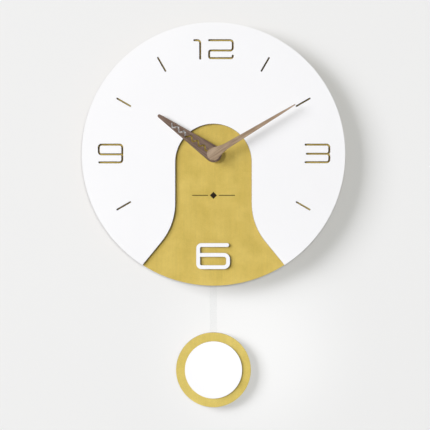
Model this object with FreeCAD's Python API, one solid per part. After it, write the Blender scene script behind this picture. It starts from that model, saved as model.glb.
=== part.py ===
import FreeCAD, Part
import math
import os

# Pendulum wall clock, sizes in millimetres.
# The shapes are drawn about the hand axis: x to the right, z up and "depth"
# counted from the wall towards the viewer.  place() then drops them below the
# hanging hole, whose centre on the wall plane is the origin of the clock.

# ---------------------------------------------------------------- dial boards
DIAL_RADIUS = 150.0
BOARD = 3.0                   # base disc, face layer and the six share one board

BELL_RADIUS = 43.4            # half width of the opening shaped like a bell
BELL_ARCH_Z = -9.0
BELL_SIDE_END_Z = -55.7
BELL_FLARE_RADIUS = 70.0
BELL_FLARE_TURN = 39.3        # degrees the flare turns outward

TICK_INSET = 32.1             # rim of the dial to the middle of a tick
TICK_LENGTH = 18.7
TICK_WIDTH = 1.5
TICK_HOURS = (1, 2, 4, 8, 10, 11)
HOUR_ANGLE = 30.0

SLOT_WIDTH = 1.8              # cut strokes of 12, 3 and 9
SIX_STROKE = 4.5              # raised stroke of the 6
CORNER = 3.0                  # usual bend in a numeral's stroke
SMALL_CORNER = 2.0
TWELVE_INSET = 32.1           # rim of the dial to the foot line of each numeral's frame
THREE_INSET = 31.6
NINE_INSET = 32.8
SIX_INSET = 33.8
NUMERAL_TOP = 10.7            # shared by the 3 and the 9, above the hand axis

ENGRAVE_DEPTH = 0.3
ENGRAVE_WIDTH = 0.8
ENGRAVE_Z = -47.0
ENGRAVE_REACH = 24.0          # half length of the engraved line
DIAMOND_REACH = 4.0
DIAMOND_GAP = 2.5

# ------------------------------------------------------------- cell and case
CELL_RADIUS = 7.25            # AA cell, which sets the depth and width of the case
CELL_LENGTH = 50.5
CELL_NUB_RADIUS = 2.75
CELL_NUB = 1.0
CELL_BACK = 1.75              # wall to the back of the cell
CELL_FRONT_PLAY = 0.35
CONTACT_SPACE = 3.35          # for a contact at each end of the cell
BAY_PLAY = 0.95
CASE_WALL = 1.4
CELL_DEPTH = CELL_BACK + CELL_RADIUS
CELL_LEFT = -CELL_LENGTH / 2
CASE_INNER_FRONT = CELL_BACK + 2 * CELL_RADIUS + CELL_FRONT_PLAY
CASE_FRONT = CASE_INNER_FRONT + CASE_WALL
INNER_HALF_WIDTH = CELL_LENGTH / 2 + CONTACT_SPACE
CASE_HALF_WIDTH = INNER_HALF_WIDTH + CASE_WALL
RUBBER_WASHER_THICK = 1.0
BASE_BACK = CASE_FRONT + RUBBER_WASHER_THICK
BASE_FRONT = BASE_BACK + BOARD
FACE_FRONT = BASE_FRONT + BOARD

# ---------------------------------------------------------------------- hands
HAND_THICK = 2.0
MINUTE_ANGLE = 58.9           # clockwise from twelve, at ten past ten
MINUTE_LENGTH = 108.4
MINUTE_HUB_RADIUS = 7.5
MINUTE_BLEND = 45.0           # hollow curve from the hub into the blade
MINUTE_ROOT_HALF = 3.3
MINUTE_SHOULDER = 86.0
MINUTE_SHOULDER_HALF = 1.5
MINUTE_TIP_HALF = 0.6
HOUR_HAND_ANGLE = 305.0
HOUR_HUB_RADIUS = 9.5
HOUR_TIP_CENTRE = 75.1
HOUR_TIP_RADIUS = 1.9
WAVE_START = 8.0
WAVE_END = 58.7
WAVE_PEAK = 14.0              # first crest on the clockwise side
WAVE_PERIOD = 9.15
WAVE_HEIGHT = 1.9
WAVE_WIDTH = 1.75
WAVE_POINTS = 60

# ------------------------------------------------------------ hand shaft stack
RUN_GAP = 0.05                # radial gap of a shaft running in a hole
HAND_GAP = 0.6                # between one hand and the next
BUSH_RADIUS = 4.0
BUSH_COLLAR_RADIUS = BUSH_RADIUS + 1.5
BUSH_END = FACE_FRONT + 3.2
THREAD_PITCH = 0.75
THREAD_DEPTH = 0.35
TUBE_RADIUS = 2.5             # hour tube
MINUTE_ARBOR_RADIUS = 1.6
ARBOR_RADIUS = 0.5            # every small train arbor
HOUR_COLLET_BACK = BUSH_END + HAND_GAP
COLLET_FLANGE = 0.6
HOUR_COLLET_RADIUS = 5.0
HOUR_NECK_RADIUS = 3.4
MINUTE_COLLET_RADIUS = 4.2
MINUTE_COLLET_HEIGHT = 1.6
HOUR_HAND_BACK = HOUR_COLLET_BACK + COLLET_FLANGE
HOUR_HAND_FRONT = HOUR_HAND_BACK + HAND_THICK
HOUR_TUBE_END = HOUR_HAND_FRONT + 0.2
MINUTE_COLLET_BACK = HOUR_TUBE_END + HAND_GAP
MINUTE_HAND_BACK = MINUTE_COLLET_BACK + MINUTE_COLLET_HEIGHT
MINUTE_HAND_FRONT = MINUTE_HAND_BACK + HAND_THICK

RUBBER_WASHER_RADIUS = BUSH_RADIUS + 5.0
BRASS_WASHER_RADIUS = BUSH_RADIUS + 3.5
BRASS_WASHER_THICK = 0.6
NUT_ACROSS_FLATS = 3 * BUSH_RADIUS
NUT_HEIGHT = 2.2
BUSH_HOLE_GAP = 0.2
NUT_THREAD_GAP = 0.02

# -------------------------------------------------------------- movement case
CASE_TOP = 28.0
CASE_CORNER = 4.0
CASE_EDGE = 0.5               # small bevel round the outside of case and cover
COVER_THICK = 2.0
COVER_BOSS_FRONT = 4.4
BOSS_RADIUS = 1.6
POST_RADIUS = 1.8
BLIND_HOLE = 1.0              # depth of the pivot holes in the case front
PIVOT_PLAY = 0.2              # end float of an arbor
CLIP_HALF_WIDTH = 4.0
CLIP_THICK = 1.0
CLIP_FRONT = 8.0
CLIP_BARB = 0.8
CLIP_PLAY = 0.3
TRAIN_FLOOR_Z = -21.4         # top of the wall between the train and the cell
BAY_HALF = CELL_RADIUS + BAY_PLAY
CELL_Z = TRAIN_FLOOR_Z - CASE_WALL - BAY_HALF
BAY_FLOOR_Z = CELL_Z - BAY_HALF - CASE_WALL
PIVOT_Z = BAY_FLOOR_Z - 5.4   # pendulum pivot
CASE_BOTTOM = PIVOT_Z - 34.0
CLIP_HEIGHTS = (14.0, CASE_BOTTOM + 18.0)

PLATE_THICK = 1.2             # plate between the train and the motion work
MOTION_SPACE = 3.8            # plate to the case front
PLATE_FRONT = CASE_INNER_FRONT - MOTION_SPACE
PLATE_BACK = PLATE_FRONT - PLATE_THICK
PLATE_POSTS = ((-25.0, 24.0), (17.5, 24.0), (17.5, -18.5), (-9.0, -18.5))

# --------------------------------------------------------------------- hanger
HUB_DROP = 38.0               # hanging hole down to the hand axis
HANGER_THICK = 1.5
HANGER_HALF_WIDTH = 14.0
HANGER_FOOT_Z = 15.0
HANGER_HEAD_Z = 40.0
HANGER_HOLE_RADIUS = 4.0
HANGER_SLOT_WIDTH = 4.2
HANGER_SLOT_RISE = 7.0
HANGER_SCREW_X = 9.0
HANGER_SCREW_Z = 20.5
SCREW_RADIUS = 1.2
SCREW_HEAD_RADIUS = 2.3
SCREW_LENGTH = 5.4
SCREW_BOSS_RADIUS = 2.6
SCREW_BOSS_FRONT = 6.0

# ---------------------------------------------------------------- gear train
PRESSURE_ANGLE = 20.0
TOOTH_PLAY = 0.16             # share of a pitch-line tooth removed for backlash
MOTION_DISTANCE = 12.0        # hand axis to the motion wheel, and on to the knob
MOTION_DIRECTION = 150.0
MINUTE_PINION_TEETH = 12
MOTION_WHEEL_TEETH = 36
MOTION_PINION_TEETH = 10
HOUR_WHEEL_TEETH = 40
THIRD_DISTANCE = 10.8
THIRD_DIRECTION = 60.0
ARBOR_PAST_WHEEL = 1.4        # centre wheel's pitch line to the fifth arbor
CENTRE_WHEEL_TEETH = 64
THIRD_PINION_TEETH = 8
CENTRE_WHEEL_PITCH = THIRD_DISTANCE * CENTRE_WHEEL_TEETH / (CENTRE_WHEEL_TEETH + THIRD_PINION_TEETH)
FIFTH_DISTANCE = CENTRE_WHEEL_PITCH + ARBOR_PAST_WHEEL
THIRD_WHEEL_TEETH = 75
SECONDS_PINION_TEETH = 10
FIFTH_DIRECTION = -15.0
SECONDS_WHEEL_TEETH = 60
FIFTH_PINION_TEETH = 12
ROTOR_DISTANCE = 8.75
ROTOR_DIRECTION = -60.0
FIFTH_WHEEL_TEETH = 60
ROTOR_PINION_TEETH = 10
WHEEL_THICK = 0.8
LIGHTENING_HOLES = 5

# depths of the layers of wheels, from the wall
KNOB_BACK = 0.4
KNOB_FRONT = COVER_THICK + 0.4
KNOB_RADIUS = 6.4
KNOB_SHAFT_RADIUS = 1.0
ARBOR_BACK = 2.3
FRONT_PIVOT_END = CASE_INNER_FRONT + BLIND_HOLE - PIVOT_PLAY
PLATE_PIVOT_END = PLATE_BACK + PIVOT_PLAY
FIFTH_WHEEL_BACK = 5.2
SECONDS_WHEEL_BACK = 7.0
THIRD_WHEEL_BACK = 8.6
CENTRE_WHEEL_BACK = PLATE_BACK - 1.4
PINION_OVERLAP = 0.4
MOTION_WHEEL_BACK = PLATE_FRONT + 0.6
HOUR_WHEEL_BACK = MOTION_WHEEL_BACK + 1.5
HOUR_WHEEL_FRONT = HOUR_WHEEL_BACK + 1.1
MINUTE_ARBOR_BACK = CENTRE_WHEEL_BACK - 0.2
SECONDS_ARBOR_END = BASE_BACK + 1.0

# --------------------------------------------------------- stepping motor
MAGNET_RADIUS = 2.5
MAGNET_BACK = 8.8
MAGNET_HEIGHT = 2.2
STATOR_BACK = 9.4
LAMINATION = 1.0
STATOR_GAP = 0.5
STATOR_RING = 5.5
COIL_X = 24.5
COIL_TOP_Z = -3.5
COIL_BOTTOM_Z = -15.0
COIL_RADIUS = 3.2
CORE_HALF_WIDTH = 1.5
BOBBIN_WALL = 0.6
FLANGE_THICK = 0.8
COIL_DEPTH = STATOR_BACK - LAMINATION / 2
STATOR_FRONT = STATOR_BACK + LAMINATION
STATOR_TOP_Z = 2.0
STATOR_BOTTOM_Z = -20.5
STATOR_RIGHT = 27.0
STATOR_LIMB = 4.6
CORE_PIN_RADIUS = 0.8

# --------------------------------------------------------------- contacts
CONTACT_THICK = 0.4
CONTACT_HALF_HEIGHT = 6.0
SPRING_WIRE = 0.35            # radius of the spring's wire
SPRING_TURNS = 3.0

# --------------------------------------------------------------- pendulum
PIVOT_PIN_RADIUS = 1.0
ARM_BACK = 6.3
ARM_THICK = 2.0
ARM_FRONT = ARM_BACK + ARM_THICK
ARM_HUB_RADIUS = 3.2
ARM_MAGNET_Z = PIVOT_Z - 22.0
ARM_MAGNET_RADIUS = 4.0
ARM_MAGNET_THICK = 3.0
ROD_WIDTH = 8.0
ROD_THICK = 2.0
ROD_BACK = ARM_BACK - ROD_THICK
HOOK_Z = CASE_BOTTOM - 8.0
ARM_BOTTOM_Z = HOOK_Z - 4.0
HOOK_RADIUS = 1.7
HOOK_LIP = 0.8
HOOK_PLAY = 0.15
ROD_BELOW_CENTRE = 26.0
BOB_RADIUS = 42.8
BOB_GAP = 54.0                # dial rim to bob rim
BOB_Z = -DIAL_RADIUS - BOB_GAP - BOB_RADIUS
BOB_CENTRE_RADIUS = 32.75
BOB_CENTRE_THICK = 2.0
GLUE_GAP = 0.05
DRIVE_COIL_RADIUS = 8.0
COIL_POST_RADIUS = 1.9
DRIVE_COIL_GAP = 1.0          # pendulum magnet to coil
DRIVE_COIL_BACK = ARM_BACK + (ARM_THICK + ARM_MAGNET_THICK) / 2 + DRIVE_COIL_GAP
DRIVE_COIL_FRONT = CASE_INNER_FRONT - 1.0
EXIT_HALF_WIDTH = 12.0
EXIT_BACK = 3.6
EXIT_FRONT = 11.0

# ------------------------------------------------------------- circuit boards
CIRCUIT_BACK = CASE_INNER_FRONT - 2.0
CIRCUIT_THICK = 0.8
CIRCUIT_FRONT = CIRCUIT_BACK + CIRCUIT_THICK
CLOCK_BOARD = (-28.0, -12.5, -20.5, -4.5)       # left, right, bottom, top
DRIVE_BOARD = (-27.0, -11.5, CASE_BOTTOM + 3.0, CASE_BOTTOM + 20.0)
CRYSTAL_RADIUS = 1.0
CRYSTAL_LENGTH = 6.0


# ------------------------------------------------------------ drawing helpers
def spot(x, z):
    return FreeCAD.Vector(x, 0, z)


def polar(angle, distance, start=(0.0, 0.0)):
    turn = math.radians(angle)
    return (start[0] + distance * math.cos(turn), start[1] + distance * math.sin(turn))


def disc(centre, radius, back, front):
    base = FreeCAD.Vector(centre[0], -back, centre[1])
    return Part.makeCylinder(radius, front - back, base, FreeCAD.Vector(0, -1, 0))


def ring(centre, outer, inner, back, front):
    return disc(centre, outer, back, front).cut(disc(centre, inner, back - 1, front + 1))


def cone(centre, back_radius, front_radius, back, front):
    base = FreeCAD.Vector(centre[0], -back, centre[1])
    return Part.makeCone(back_radius, front_radius, front - back, base, FreeCAD.Vector(0, -1, 0))


def block(left, right, bottom, top, back, front):
    corner = FreeCAD.Vector(left, -front, bottom)
    return Part.makeBox(right - left, front - back, top - bottom, corner)


def slab(edges, back, front):
    face = Part.Face(Part.Wire(edges))
    face.translate(FreeCAD.Vector(0, -back, 0))
    return face.extrude(FreeCAD.Vector(0, back - front, 0))


def polygon(points, back, front):
    corners = [spot(x, z) for x, z in points]
    return slab([Part.makePolygon(corners + corners[:1])], back, front)


def line(start, end):
    return Part.makeLine(spot(*start), spot(*end))


def arc(start, middle, end):
    return Part.Arc(spot(*start), spot(*middle), spot(*end)).toShape()


def soft_block(left, right, bottom, top, radius, back, front):
    body = block(left, right, bottom, top, back, front)
    uprights = [e for e in body.Edges if abs(e.tangentAt(e.FirstParameter).y) > 0.9]
    return body.makeFillet(radius, uprights)


def bevel_rim(body, depth, amount):
    """Bevel every edge that lies in the plane at one depth."""
    rim = []
    for edge in body.Edges:
        box = edge.BoundBox
        if abs(box.YMin + depth) < 0.01 and abs(box.YMax + depth) < 0.01:
            rim.append(edge)
    return body.makeChamfer(amount, rim)


def fuse(shapes):
    return shapes[0].multiFuse(shapes[1:]).removeSplitter()


def turned(shape, angle):
    shape.rotate(FreeCAD.Vector(0, 0, 0), FreeCAD.Vector(0, 1, 0), angle)
    return shape


# --------------------------------------------------- strokes with round corners
def shifted(corner, sideways, amount):
    return (corner[0] + sideways[0] * amount, corner[1] + sideways[1] * amount)


def unit(start, end):
    span = math.hypot(end[0] - start[0], end[1] - start[1])
    return ((end[0] - start[0]) / span, (end[1] - start[1]) / span)


def bend(before, corner, after, radius):
    """Round one corner: where the bend begins and ends, its centre and its turn."""
    arrive = unit(before, corner)
    leave = unit(corner, after)
    cross = arrive[0] * leave[1] - arrive[1] * leave[0]
    half_turn = math.acos(arrive[0] * leave[0] + arrive[1] * leave[1]) / 2
    setback = radius * math.tan(half_turn)
    begin = shifted(corner, arrive, -setback)
    finish = shifted(corner, leave, setback)
    side = math.copysign(1.0, cross)
    centre = shifted(begin, (-arrive[1], arrive[0]), side * radius)
    return begin, finish, centre, side


def stroke_side(path, offset):
    """One edge of a stroke: the path moved sideways, left of travel when positive."""
    edges = []
    cursor = None
    for index in range(len(path) - 1):
        start, end = path[index], path[index + 1]
        heading = unit(start, end)
        left = (-heading[1], heading[0])
        if cursor is None:
            cursor = shifted(start, left, offset)
        if index + 2 == len(path):
            edges.append(line(cursor, shifted(end, left, offset)))
            continue
        begin, finish, centre, side = bend(start, end, path[index + 2], end[2])
        stop = shifted(begin, left, offset)
        edges.append(line(cursor, stop))
        away = unit(centre, end[:2])
        after = unit(end, path[index + 2])
        cursor = shifted(finish, (-after[1], after[0]), offset)
        edges.append(arc(stop, shifted(centre, away, end[2] - side * offset), cursor))
    return edges


def round_end(tip, heading, half):
    side = (-heading[1], heading[0])
    return arc(shifted(tip, side, half), shifted(tip, heading, half), shifted(tip, side, -half))


def stroke(path, width, back, front):
    """A stroke of even width with round ends; inner path points carry a bend radius."""
    half = width / 2
    edges = stroke_side(path, half)
    edges += stroke_side(path, -half)
    edges.append(round_end(path[-1], unit(path[-2], path[-1]), half))
    edges.append(round_end(path[0], unit(path[1], path[0]), half))
    return slab(Part.__sortEdges__(edges), back, front)


# ------------------------------------------------------------------- numerals
def one_paths():
    foot = DIAL_RADIUS - TWELVE_INSET - 9.3
    return [[(-21.8, foot + 21.0), (-15.1, foot + 21.0, CORNER), (-15.1, foot)]]


def two_paths():
    foot = DIAL_RADIUS - TWELVE_INSET - 8.7
    top, waist = foot + 20.4, foot + 8.7
    return [[(-4.9, top), (22.0, top, CORNER), (22.0, waist, CORNER),
             (-4.9, waist, SMALL_CORNER), (-4.9, foot, SMALL_CORNER),
             (22.0, foot, SMALL_CORNER), (22.0, foot + 2.8)]]


def three_paths():
    left = DIAL_RADIUS - THREE_INSET - 13.5
    right = left + 27.0
    upper = [(left, NUMERAL_TOP), (right, NUMERAL_TOP, CORNER), (right, 0.3, CORNER), (left + 1.5, 0.3)]
    lower = [(left + 1.5, 0.3), (right, 0.3, CORNER), (right, -9.3, CORNER), (left, -9.3)]
    return [upper, lower]


def nine_paths():
    left = NINE_INSET - DIAL_RADIUS - 13.3
    middle, right = left + 13.5, left + 26.7
    hook = [(middle, NUMERAL_TOP), (right, NUMERAL_TOP, CORNER), (right, -9.5, CORNER), (left + 0.6, -9.5)]
    loop = [(right, -0.3), (left, -0.3, CORNER), (left, NUMERAL_TOP, CORNER), (middle, NUMERAL_TOP)]
    return [hook, loop]


def six_paths():
    middle = SIX_INSET - DIAL_RADIUS + 1.4
    top, foot = middle + 11.2, middle - 14.0
    back = [(15.6, top), (-17.4, top, 3.8), (-17.4, foot, 3.8), (0.0, foot)]
    bowl = [(0.0, foot), (16.6, foot, 4.8), (16.6, middle, 4.8), (-17.4, middle)]
    return [back, bowl]


def cut_numerals():
    paths = one_paths() + two_paths() + three_paths() + nine_paths()
    return [stroke(path, SLOT_WIDTH, BASE_FRONT - 1, FACE_FRONT + 1) for path in paths]


def ticks():
    cuts = []
    inner = DIAL_RADIUS - TICK_INSET - TICK_LENGTH / 2 + TICK_WIDTH / 2
    outer = inner + TICK_LENGTH - TICK_WIDTH
    for hour in TICK_HOURS:
        mark = stroke([(0.0, inner), (0.0, outer)], TICK_WIDTH, BASE_FRONT - 1, FACE_FRONT + 1)
        cuts.append(turned(mark, hour * HOUR_ANGLE))
    return cuts


# ----------------------------------------------------------------- dial pieces
def bell_side():
    """Right side of the bell opening: sloped leg, flare, upright."""
    turn = math.radians(BELL_FLARE_TURN)
    centre = (BELL_RADIUS + BELL_FLARE_RADIUS, BELL_SIDE_END_Z)
    middle = polar(180 + BELL_FLARE_TURN / 2, BELL_FLARE_RADIUS, centre)
    lip = polar(180 + BELL_FLARE_TURN, BELL_FLARE_RADIUS, centre)
    slope = (math.sin(turn), -math.cos(turn))
    foot = shifted(lip, slope, DIAL_RADIUS)
    return foot, lip, middle


def bell_opening():
    foot, lip, middle = bell_side()
    edges = [line((-foot[0], foot[1]), foot)]
    for side in (1, -1):
        waist = (side * BELL_RADIUS, BELL_SIDE_END_Z)
        shoulder = (side * BELL_RADIUS, BELL_ARCH_Z)
        edges.append(line((side * foot[0], foot[1]), (side * lip[0], lip[1])))
        edges.append(arc((side * lip[0], lip[1]), (side * middle[0], middle[1]), waist))
        edges.append(line(waist, shoulder))
    crown = (0.0, BELL_ARCH_Z + BELL_RADIUS)
    edges.append(arc((BELL_RADIUS, BELL_ARCH_Z), crown, (-BELL_RADIUS, BELL_ARCH_Z)))
    return slab(Part.__sortEdges__(edges), BASE_FRONT - 1, FACE_FRONT + 1)


def base_disc():
    board = disc((0, 0), DIAL_RADIUS, BASE_BACK, BASE_FRONT)
    hole = disc((0, 0), BUSH_RADIUS + BUSH_HOLE_GAP, BASE_BACK - 1, BASE_FRONT + 1)
    return board.cut(fuse([hole] + engraving()))


def engraving():
    """A plain line with a diamond in its middle, sunk into the base disc."""
    floor = BASE_FRONT - ENGRAVE_DEPTH
    cuts = []
    for side in (1, -1):
        start = (side * (DIAMOND_REACH + DIAMOND_GAP), ENGRAVE_Z)
        end = (side * ENGRAVE_REACH, ENGRAVE_Z)
        cuts.append(stroke([start, end], ENGRAVE_WIDTH, floor, BASE_FRONT + 1))
    corners = [polar(quarter * 90, DIAMOND_REACH, (0, ENGRAVE_Z)) for quarter in range(4)]
    cuts.append(polygon(corners, floor, BASE_FRONT + 1))
    return cuts


def face_parts():
    """The face layer with everything cut through it, and the loose middle of the 9."""
    board = disc((0, 0), DIAL_RADIUS, BASE_FRONT, FACE_FRONT)
    pieces = board.cut(fuse([bell_opening()] + cut_numerals() + ticks())).Solids
    pieces.sort(key=lambda solid: solid.Volume)
    return pieces[-1], pieces[0]


def numeral_six():
    return fuse([stroke(path, SIX_STROKE, BASE_FRONT, FACE_FRONT) for path in six_paths()])


# ---------------------------------------------------------------------- hands
def minute_hand():
    half, blend, hub = MINUTE_ROOT_HALF, MINUTE_BLEND, MINUTE_HUB_RADIUS
    root = math.sqrt((hub + blend) ** 2 - (half + blend) ** 2)
    centre = (half + blend, root)
    touch = (centre[0] * hub / (hub + blend), root * hub / (hub + blend))
    halfway = unit(centre, ((touch[0] + half) / 2, (touch[1] + root) / 2))
    tip = MINUTE_LENGTH - MINUTE_TIP_HALF
    edges = [arc((touch[0], touch[1]), (0, -hub), (-touch[0], touch[1]))]
    for side in (1, -1):
        middle = shifted(centre, halfway, blend)
        shoulder = (side * MINUTE_SHOULDER_HALF, MINUTE_SHOULDER)
        edges.append(arc((side * touch[0], touch[1]), (side * middle[0], middle[1]), (side * half, root)))
        edges.append(line((side * half, root), shoulder))
        edges.append(line(shoulder, (side * MINUTE_TIP_HALF, tip)))
    edges.append(arc((MINUTE_TIP_HALF, tip), (0, MINUTE_LENGTH), (-MINUTE_TIP_HALF, tip)))
    blade = slab(Part.__sortEdges__(edges), MINUTE_HAND_BACK, MINUTE_HAND_FRONT)
    return turned(blade, MINUTE_ANGLE)


def wave_centre(along):
    swing = math.cos(2 * math.pi * (along - WAVE_PEAK) / WAVE_PERIOD)
    return (WAVE_HEIGHT * swing, along)


def wave_slot(back, front):
    """A slot of even width whose centre follows a cosine wave along the hand."""
    step = (WAVE_END - WAVE_START) / WAVE_POINTS
    middles = [wave_centre(WAVE_START + step * count) for count in range(WAVE_POINTS + 1)]
    headings = [unit(wave_centre(z - step), wave_centre(z + step)) for x, z in middles]
    edges = []
    for side in (1, -1):
        rim = []
        for middle, heading in zip(middles, headings):
            rim.append(spot(*shifted(middle, (-heading[1], heading[0]), side * WAVE_WIDTH / 2)))
        curve = Part.BSplineCurve()
        curve.interpolate(rim)
        edges.append(curve.toShape())
    edges.append(round_end(middles[-1], headings[-1], WAVE_WIDTH / 2))
    backward = (-headings[0][0], -headings[0][1])
    edges.append(round_end(middles[0], backward, WAVE_WIDTH / 2))
    return slab(Part.__sortEdges__(edges), back, front)


def hour_hand():
    lean = math.asin((HOUR_HUB_RADIUS - HOUR_TIP_RADIUS) / HOUR_TIP_CENTRE)
    aim = (math.cos(lean), math.sin(lean))
    edges = []
    for side in (1, -1):
        low = (side * aim[0] * HOUR_HUB_RADIUS, aim[1] * HOUR_HUB_RADIUS)
        high = (side * aim[0] * HOUR_TIP_RADIUS, HOUR_TIP_CENTRE + aim[1] * HOUR_TIP_RADIUS)
        edges.append(line(low, high))
    edges.append(arc((low[0], low[1]), (0, -HOUR_HUB_RADIUS), (-low[0], low[1])))
    edges.append(arc((high[0], high[1]), (0, HOUR_TIP_CENTRE + HOUR_TIP_RADIUS), (-high[0], high[1])))
    blade = slab(Part.__sortEdges__(edges), HOUR_HAND_BACK, HOUR_HAND_FRONT)
    blade = blade.cut(wave_slot(HOUR_HAND_BACK - 1, HOUR_HAND_FRONT + 1))
    blade = blade.cut(disc((0, 0), HOUR_NECK_RADIUS, HOUR_HAND_BACK - 1, HOUR_HAND_FRONT + 1))
    return turned(blade, HOUR_HAND_ANGLE)


def hour_collet():
    flange = disc((0, 0), HOUR_COLLET_RADIUS, HOUR_COLLET_BACK, HOUR_HAND_BACK)
    neck = disc((0, 0), HOUR_NECK_RADIUS, HOUR_HAND_BACK, HOUR_HAND_FRONT)
    bore = disc((0, 0), TUBE_RADIUS, HOUR_COLLET_BACK - 1, HOUR_HAND_FRONT + 1)
    return fuse([flange, neck]).cut(bore)


def minute_collet():
    return ring((0, 0), MINUTE_COLLET_RADIUS, MINUTE_ARBOR_RADIUS, MINUTE_COLLET_BACK, MINUTE_HAND_BACK)


# ---------------------------------------------------------------- shaft stack
def threaded_bush():
    collar = disc((0, 0), BUSH_COLLAR_RADIUS, CASE_INNER_FRONT, CASE_INNER_FRONT + CASE_WALL / 2)
    barrel = disc((0, 0), BUSH_RADIUS, CASE_INNER_FRONT, BUSH_END)
    body = fuse([collar, barrel])
    thread_start = CASE_FRONT + 0.5
    turns = int((BUSH_END - thread_start) / THREAD_PITCH)
    for turn in range(turns):
        groove = thread_start + turn * THREAD_PITCH
        tool = ring((0, 0), BUSH_RADIUS + 1, BUSH_RADIUS - THREAD_DEPTH, groove, groove + THREAD_PITCH / 2)
        body = body.cut(tool)
    return body.cut(disc((0, 0), TUBE_RADIUS + RUN_GAP, CASE_INNER_FRONT - 1, BUSH_END + 1))


def rubber_washer():
    return ring((0, 0), RUBBER_WASHER_RADIUS, BUSH_RADIUS + BUSH_HOLE_GAP, CASE_FRONT, BASE_BACK)


def brass_washer():
    front = BASE_FRONT + BRASS_WASHER_THICK
    return ring((0, 0), BRASS_WASHER_RADIUS, BUSH_RADIUS + BUSH_HOLE_GAP, BASE_FRONT, front)


def hex_nut():
    back = BASE_FRONT + BRASS_WASHER_THICK
    front = back + NUT_HEIGHT
    reach = NUT_ACROSS_FLATS / math.sqrt(3)
    corners = [polar(60 * corner, reach) for corner in range(6)]
    body = polygon(corners, back, front)
    dome = cone((0, 0), reach + NUT_HEIGHT, NUT_ACROSS_FLATS / 2, back, front)
    body = body.common(dome)
    return body.cut(disc((0, 0), BUSH_RADIUS + NUT_THREAD_GAP, back - 1, front + 1))


# ---------------------------------------------------------------------- gears
def pitch_radius(teeth, mate_teeth, distance):
    return distance * teeth / (teeth + mate_teeth)


def half_tooth(radius, pitch, teeth):
    """Half the angle a tooth fills at a radius: an involute, straight below its base."""
    base = pitch * math.cos(math.radians(PRESSURE_ANGLE))
    at_pitch = math.pi / (2 * teeth) * (1 - TOOTH_PLAY)
    lean = math.radians(PRESSURE_ANGLE)
    unwound = math.tan(lean) - lean
    if radius <= base:
        return at_pitch + unwound
    slope = math.acos(base / radius)
    return at_pitch + unwound - math.tan(slope) + slope


def gear(centre, teeth, pitch, phase, back, front, reach=0.85):
    """A spur gear whose tooth points at the phase angle; reach is its addendum share."""
    module = 2 * pitch / teeth
    root = pitch - 1.15 * module
    tip = pitch + reach * module
    base = max(root, pitch * math.cos(math.radians(PRESSURE_ANGLE)))
    radii = [root, base, (base + tip) / 2, tip]
    outline = []
    for tooth in range(teeth):
        middle = math.radians(phase) + 2 * math.pi * tooth / teeth
        for side, steps in ((-1, radii), (1, radii[::-1])):
            for radius in steps:
                angle = middle + side * half_tooth(radius, pitch, teeth)
                outline.append((centre[0] + radius * math.cos(angle), centre[1] + radius * math.sin(angle)))
    return polygon(outline, back, front)


def lighten(body, centre, inner, outer, back, front):
    """Bore a ring of round holes between the hub and the rim of a wheel."""
    middle = (inner + outer) / 2
    radius = (outer - inner) / 2 - 0.5
    for hole in range(LIGHTENING_HOLES):
        spot_at = polar(360.0 / LIGHTENING_HOLES * hole, middle, centre)
        body = body.cut(disc(spot_at, radius, back - 1, front + 1))
    return body


def facing(teeth, direction):
    """Phase that leaves a gap, not a tooth, in a direction."""
    return direction + 180.0 / teeth


MOTION_AXIS = polar(MOTION_DIRECTION, MOTION_DISTANCE)
KNOB_AXIS = polar(MOTION_DIRECTION, 2 * MOTION_DISTANCE)
THIRD_AXIS = polar(THIRD_DIRECTION, THIRD_DISTANCE)
FIFTH_AXIS = polar(FIFTH_DIRECTION, FIFTH_DISTANCE)
ROTOR_AXIS = polar(ROTOR_DIRECTION, ROTOR_DISTANCE, FIFTH_AXIS)


def wheel(centre, teeth, pitch, phase, back, thick=WHEEL_THICK):
    body = gear(centre, teeth, pitch, phase, back, back + thick)
    return lighten(body, centre, ARBOR_RADIUS + 2.2, pitch - 1.4, back, back + thick)


def pinion(centre, teeth, pitch, phase, wheel_back, thick=WHEEL_THICK):
    back = wheel_back - PINION_OVERLAP
    return gear(centre, teeth, pitch, phase, back, wheel_back + thick + PINION_OVERLAP)


def minute_arbor():
    pitch = pitch_radius(MINUTE_PINION_TEETH, MOTION_WHEEL_TEETH, MOTION_DISTANCE)
    leaf_back = MOTION_WHEEL_BACK - 0.2
    leaf_front = HOUR_WHEEL_BACK - 0.3
    leaves = gear((0, 0), MINUTE_PINION_TEETH, pitch, MOTION_DIRECTION, leaf_back, leaf_front)
    shaft = disc((0, 0), MINUTE_ARBOR_RADIUS, MINUTE_ARBOR_BACK, MINUTE_HAND_BACK)
    bore_end = SECONDS_ARBOR_END + PIVOT_PLAY
    bore = disc((0, 0), ARBOR_RADIUS + RUN_GAP, MINUTE_ARBOR_BACK - 1, bore_end)
    return fuse([leaves, shaft]).cut(bore)


def motion_wheel():
    large = pitch_radius(MOTION_WHEEL_TEETH, MINUTE_PINION_TEETH, MOTION_DISTANCE)
    small = pitch_radius(MOTION_PINION_TEETH, HOUR_WHEEL_TEETH, MOTION_DISTANCE)
    toward_hub = MOTION_DIRECTION + 180
    front = MOTION_WHEEL_BACK + 1.0
    phase = facing(MOTION_WHEEL_TEETH, toward_hub)
    rim = gear(MOTION_AXIS, MOTION_WHEEL_TEETH, large, phase, MOTION_WHEEL_BACK, front)
    rim = lighten(rim, MOTION_AXIS, small + 1.0, large - 1.2, MOTION_WHEEL_BACK, front)
    leaves = gear(MOTION_AXIS, MOTION_PINION_TEETH, small, toward_hub, front, HOUR_WHEEL_FRONT + 0.2)
    arbor = disc(MOTION_AXIS, ARBOR_RADIUS, PLATE_PIVOT_END, FRONT_PIVOT_END)
    return fuse([rim, leaves, arbor])


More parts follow.
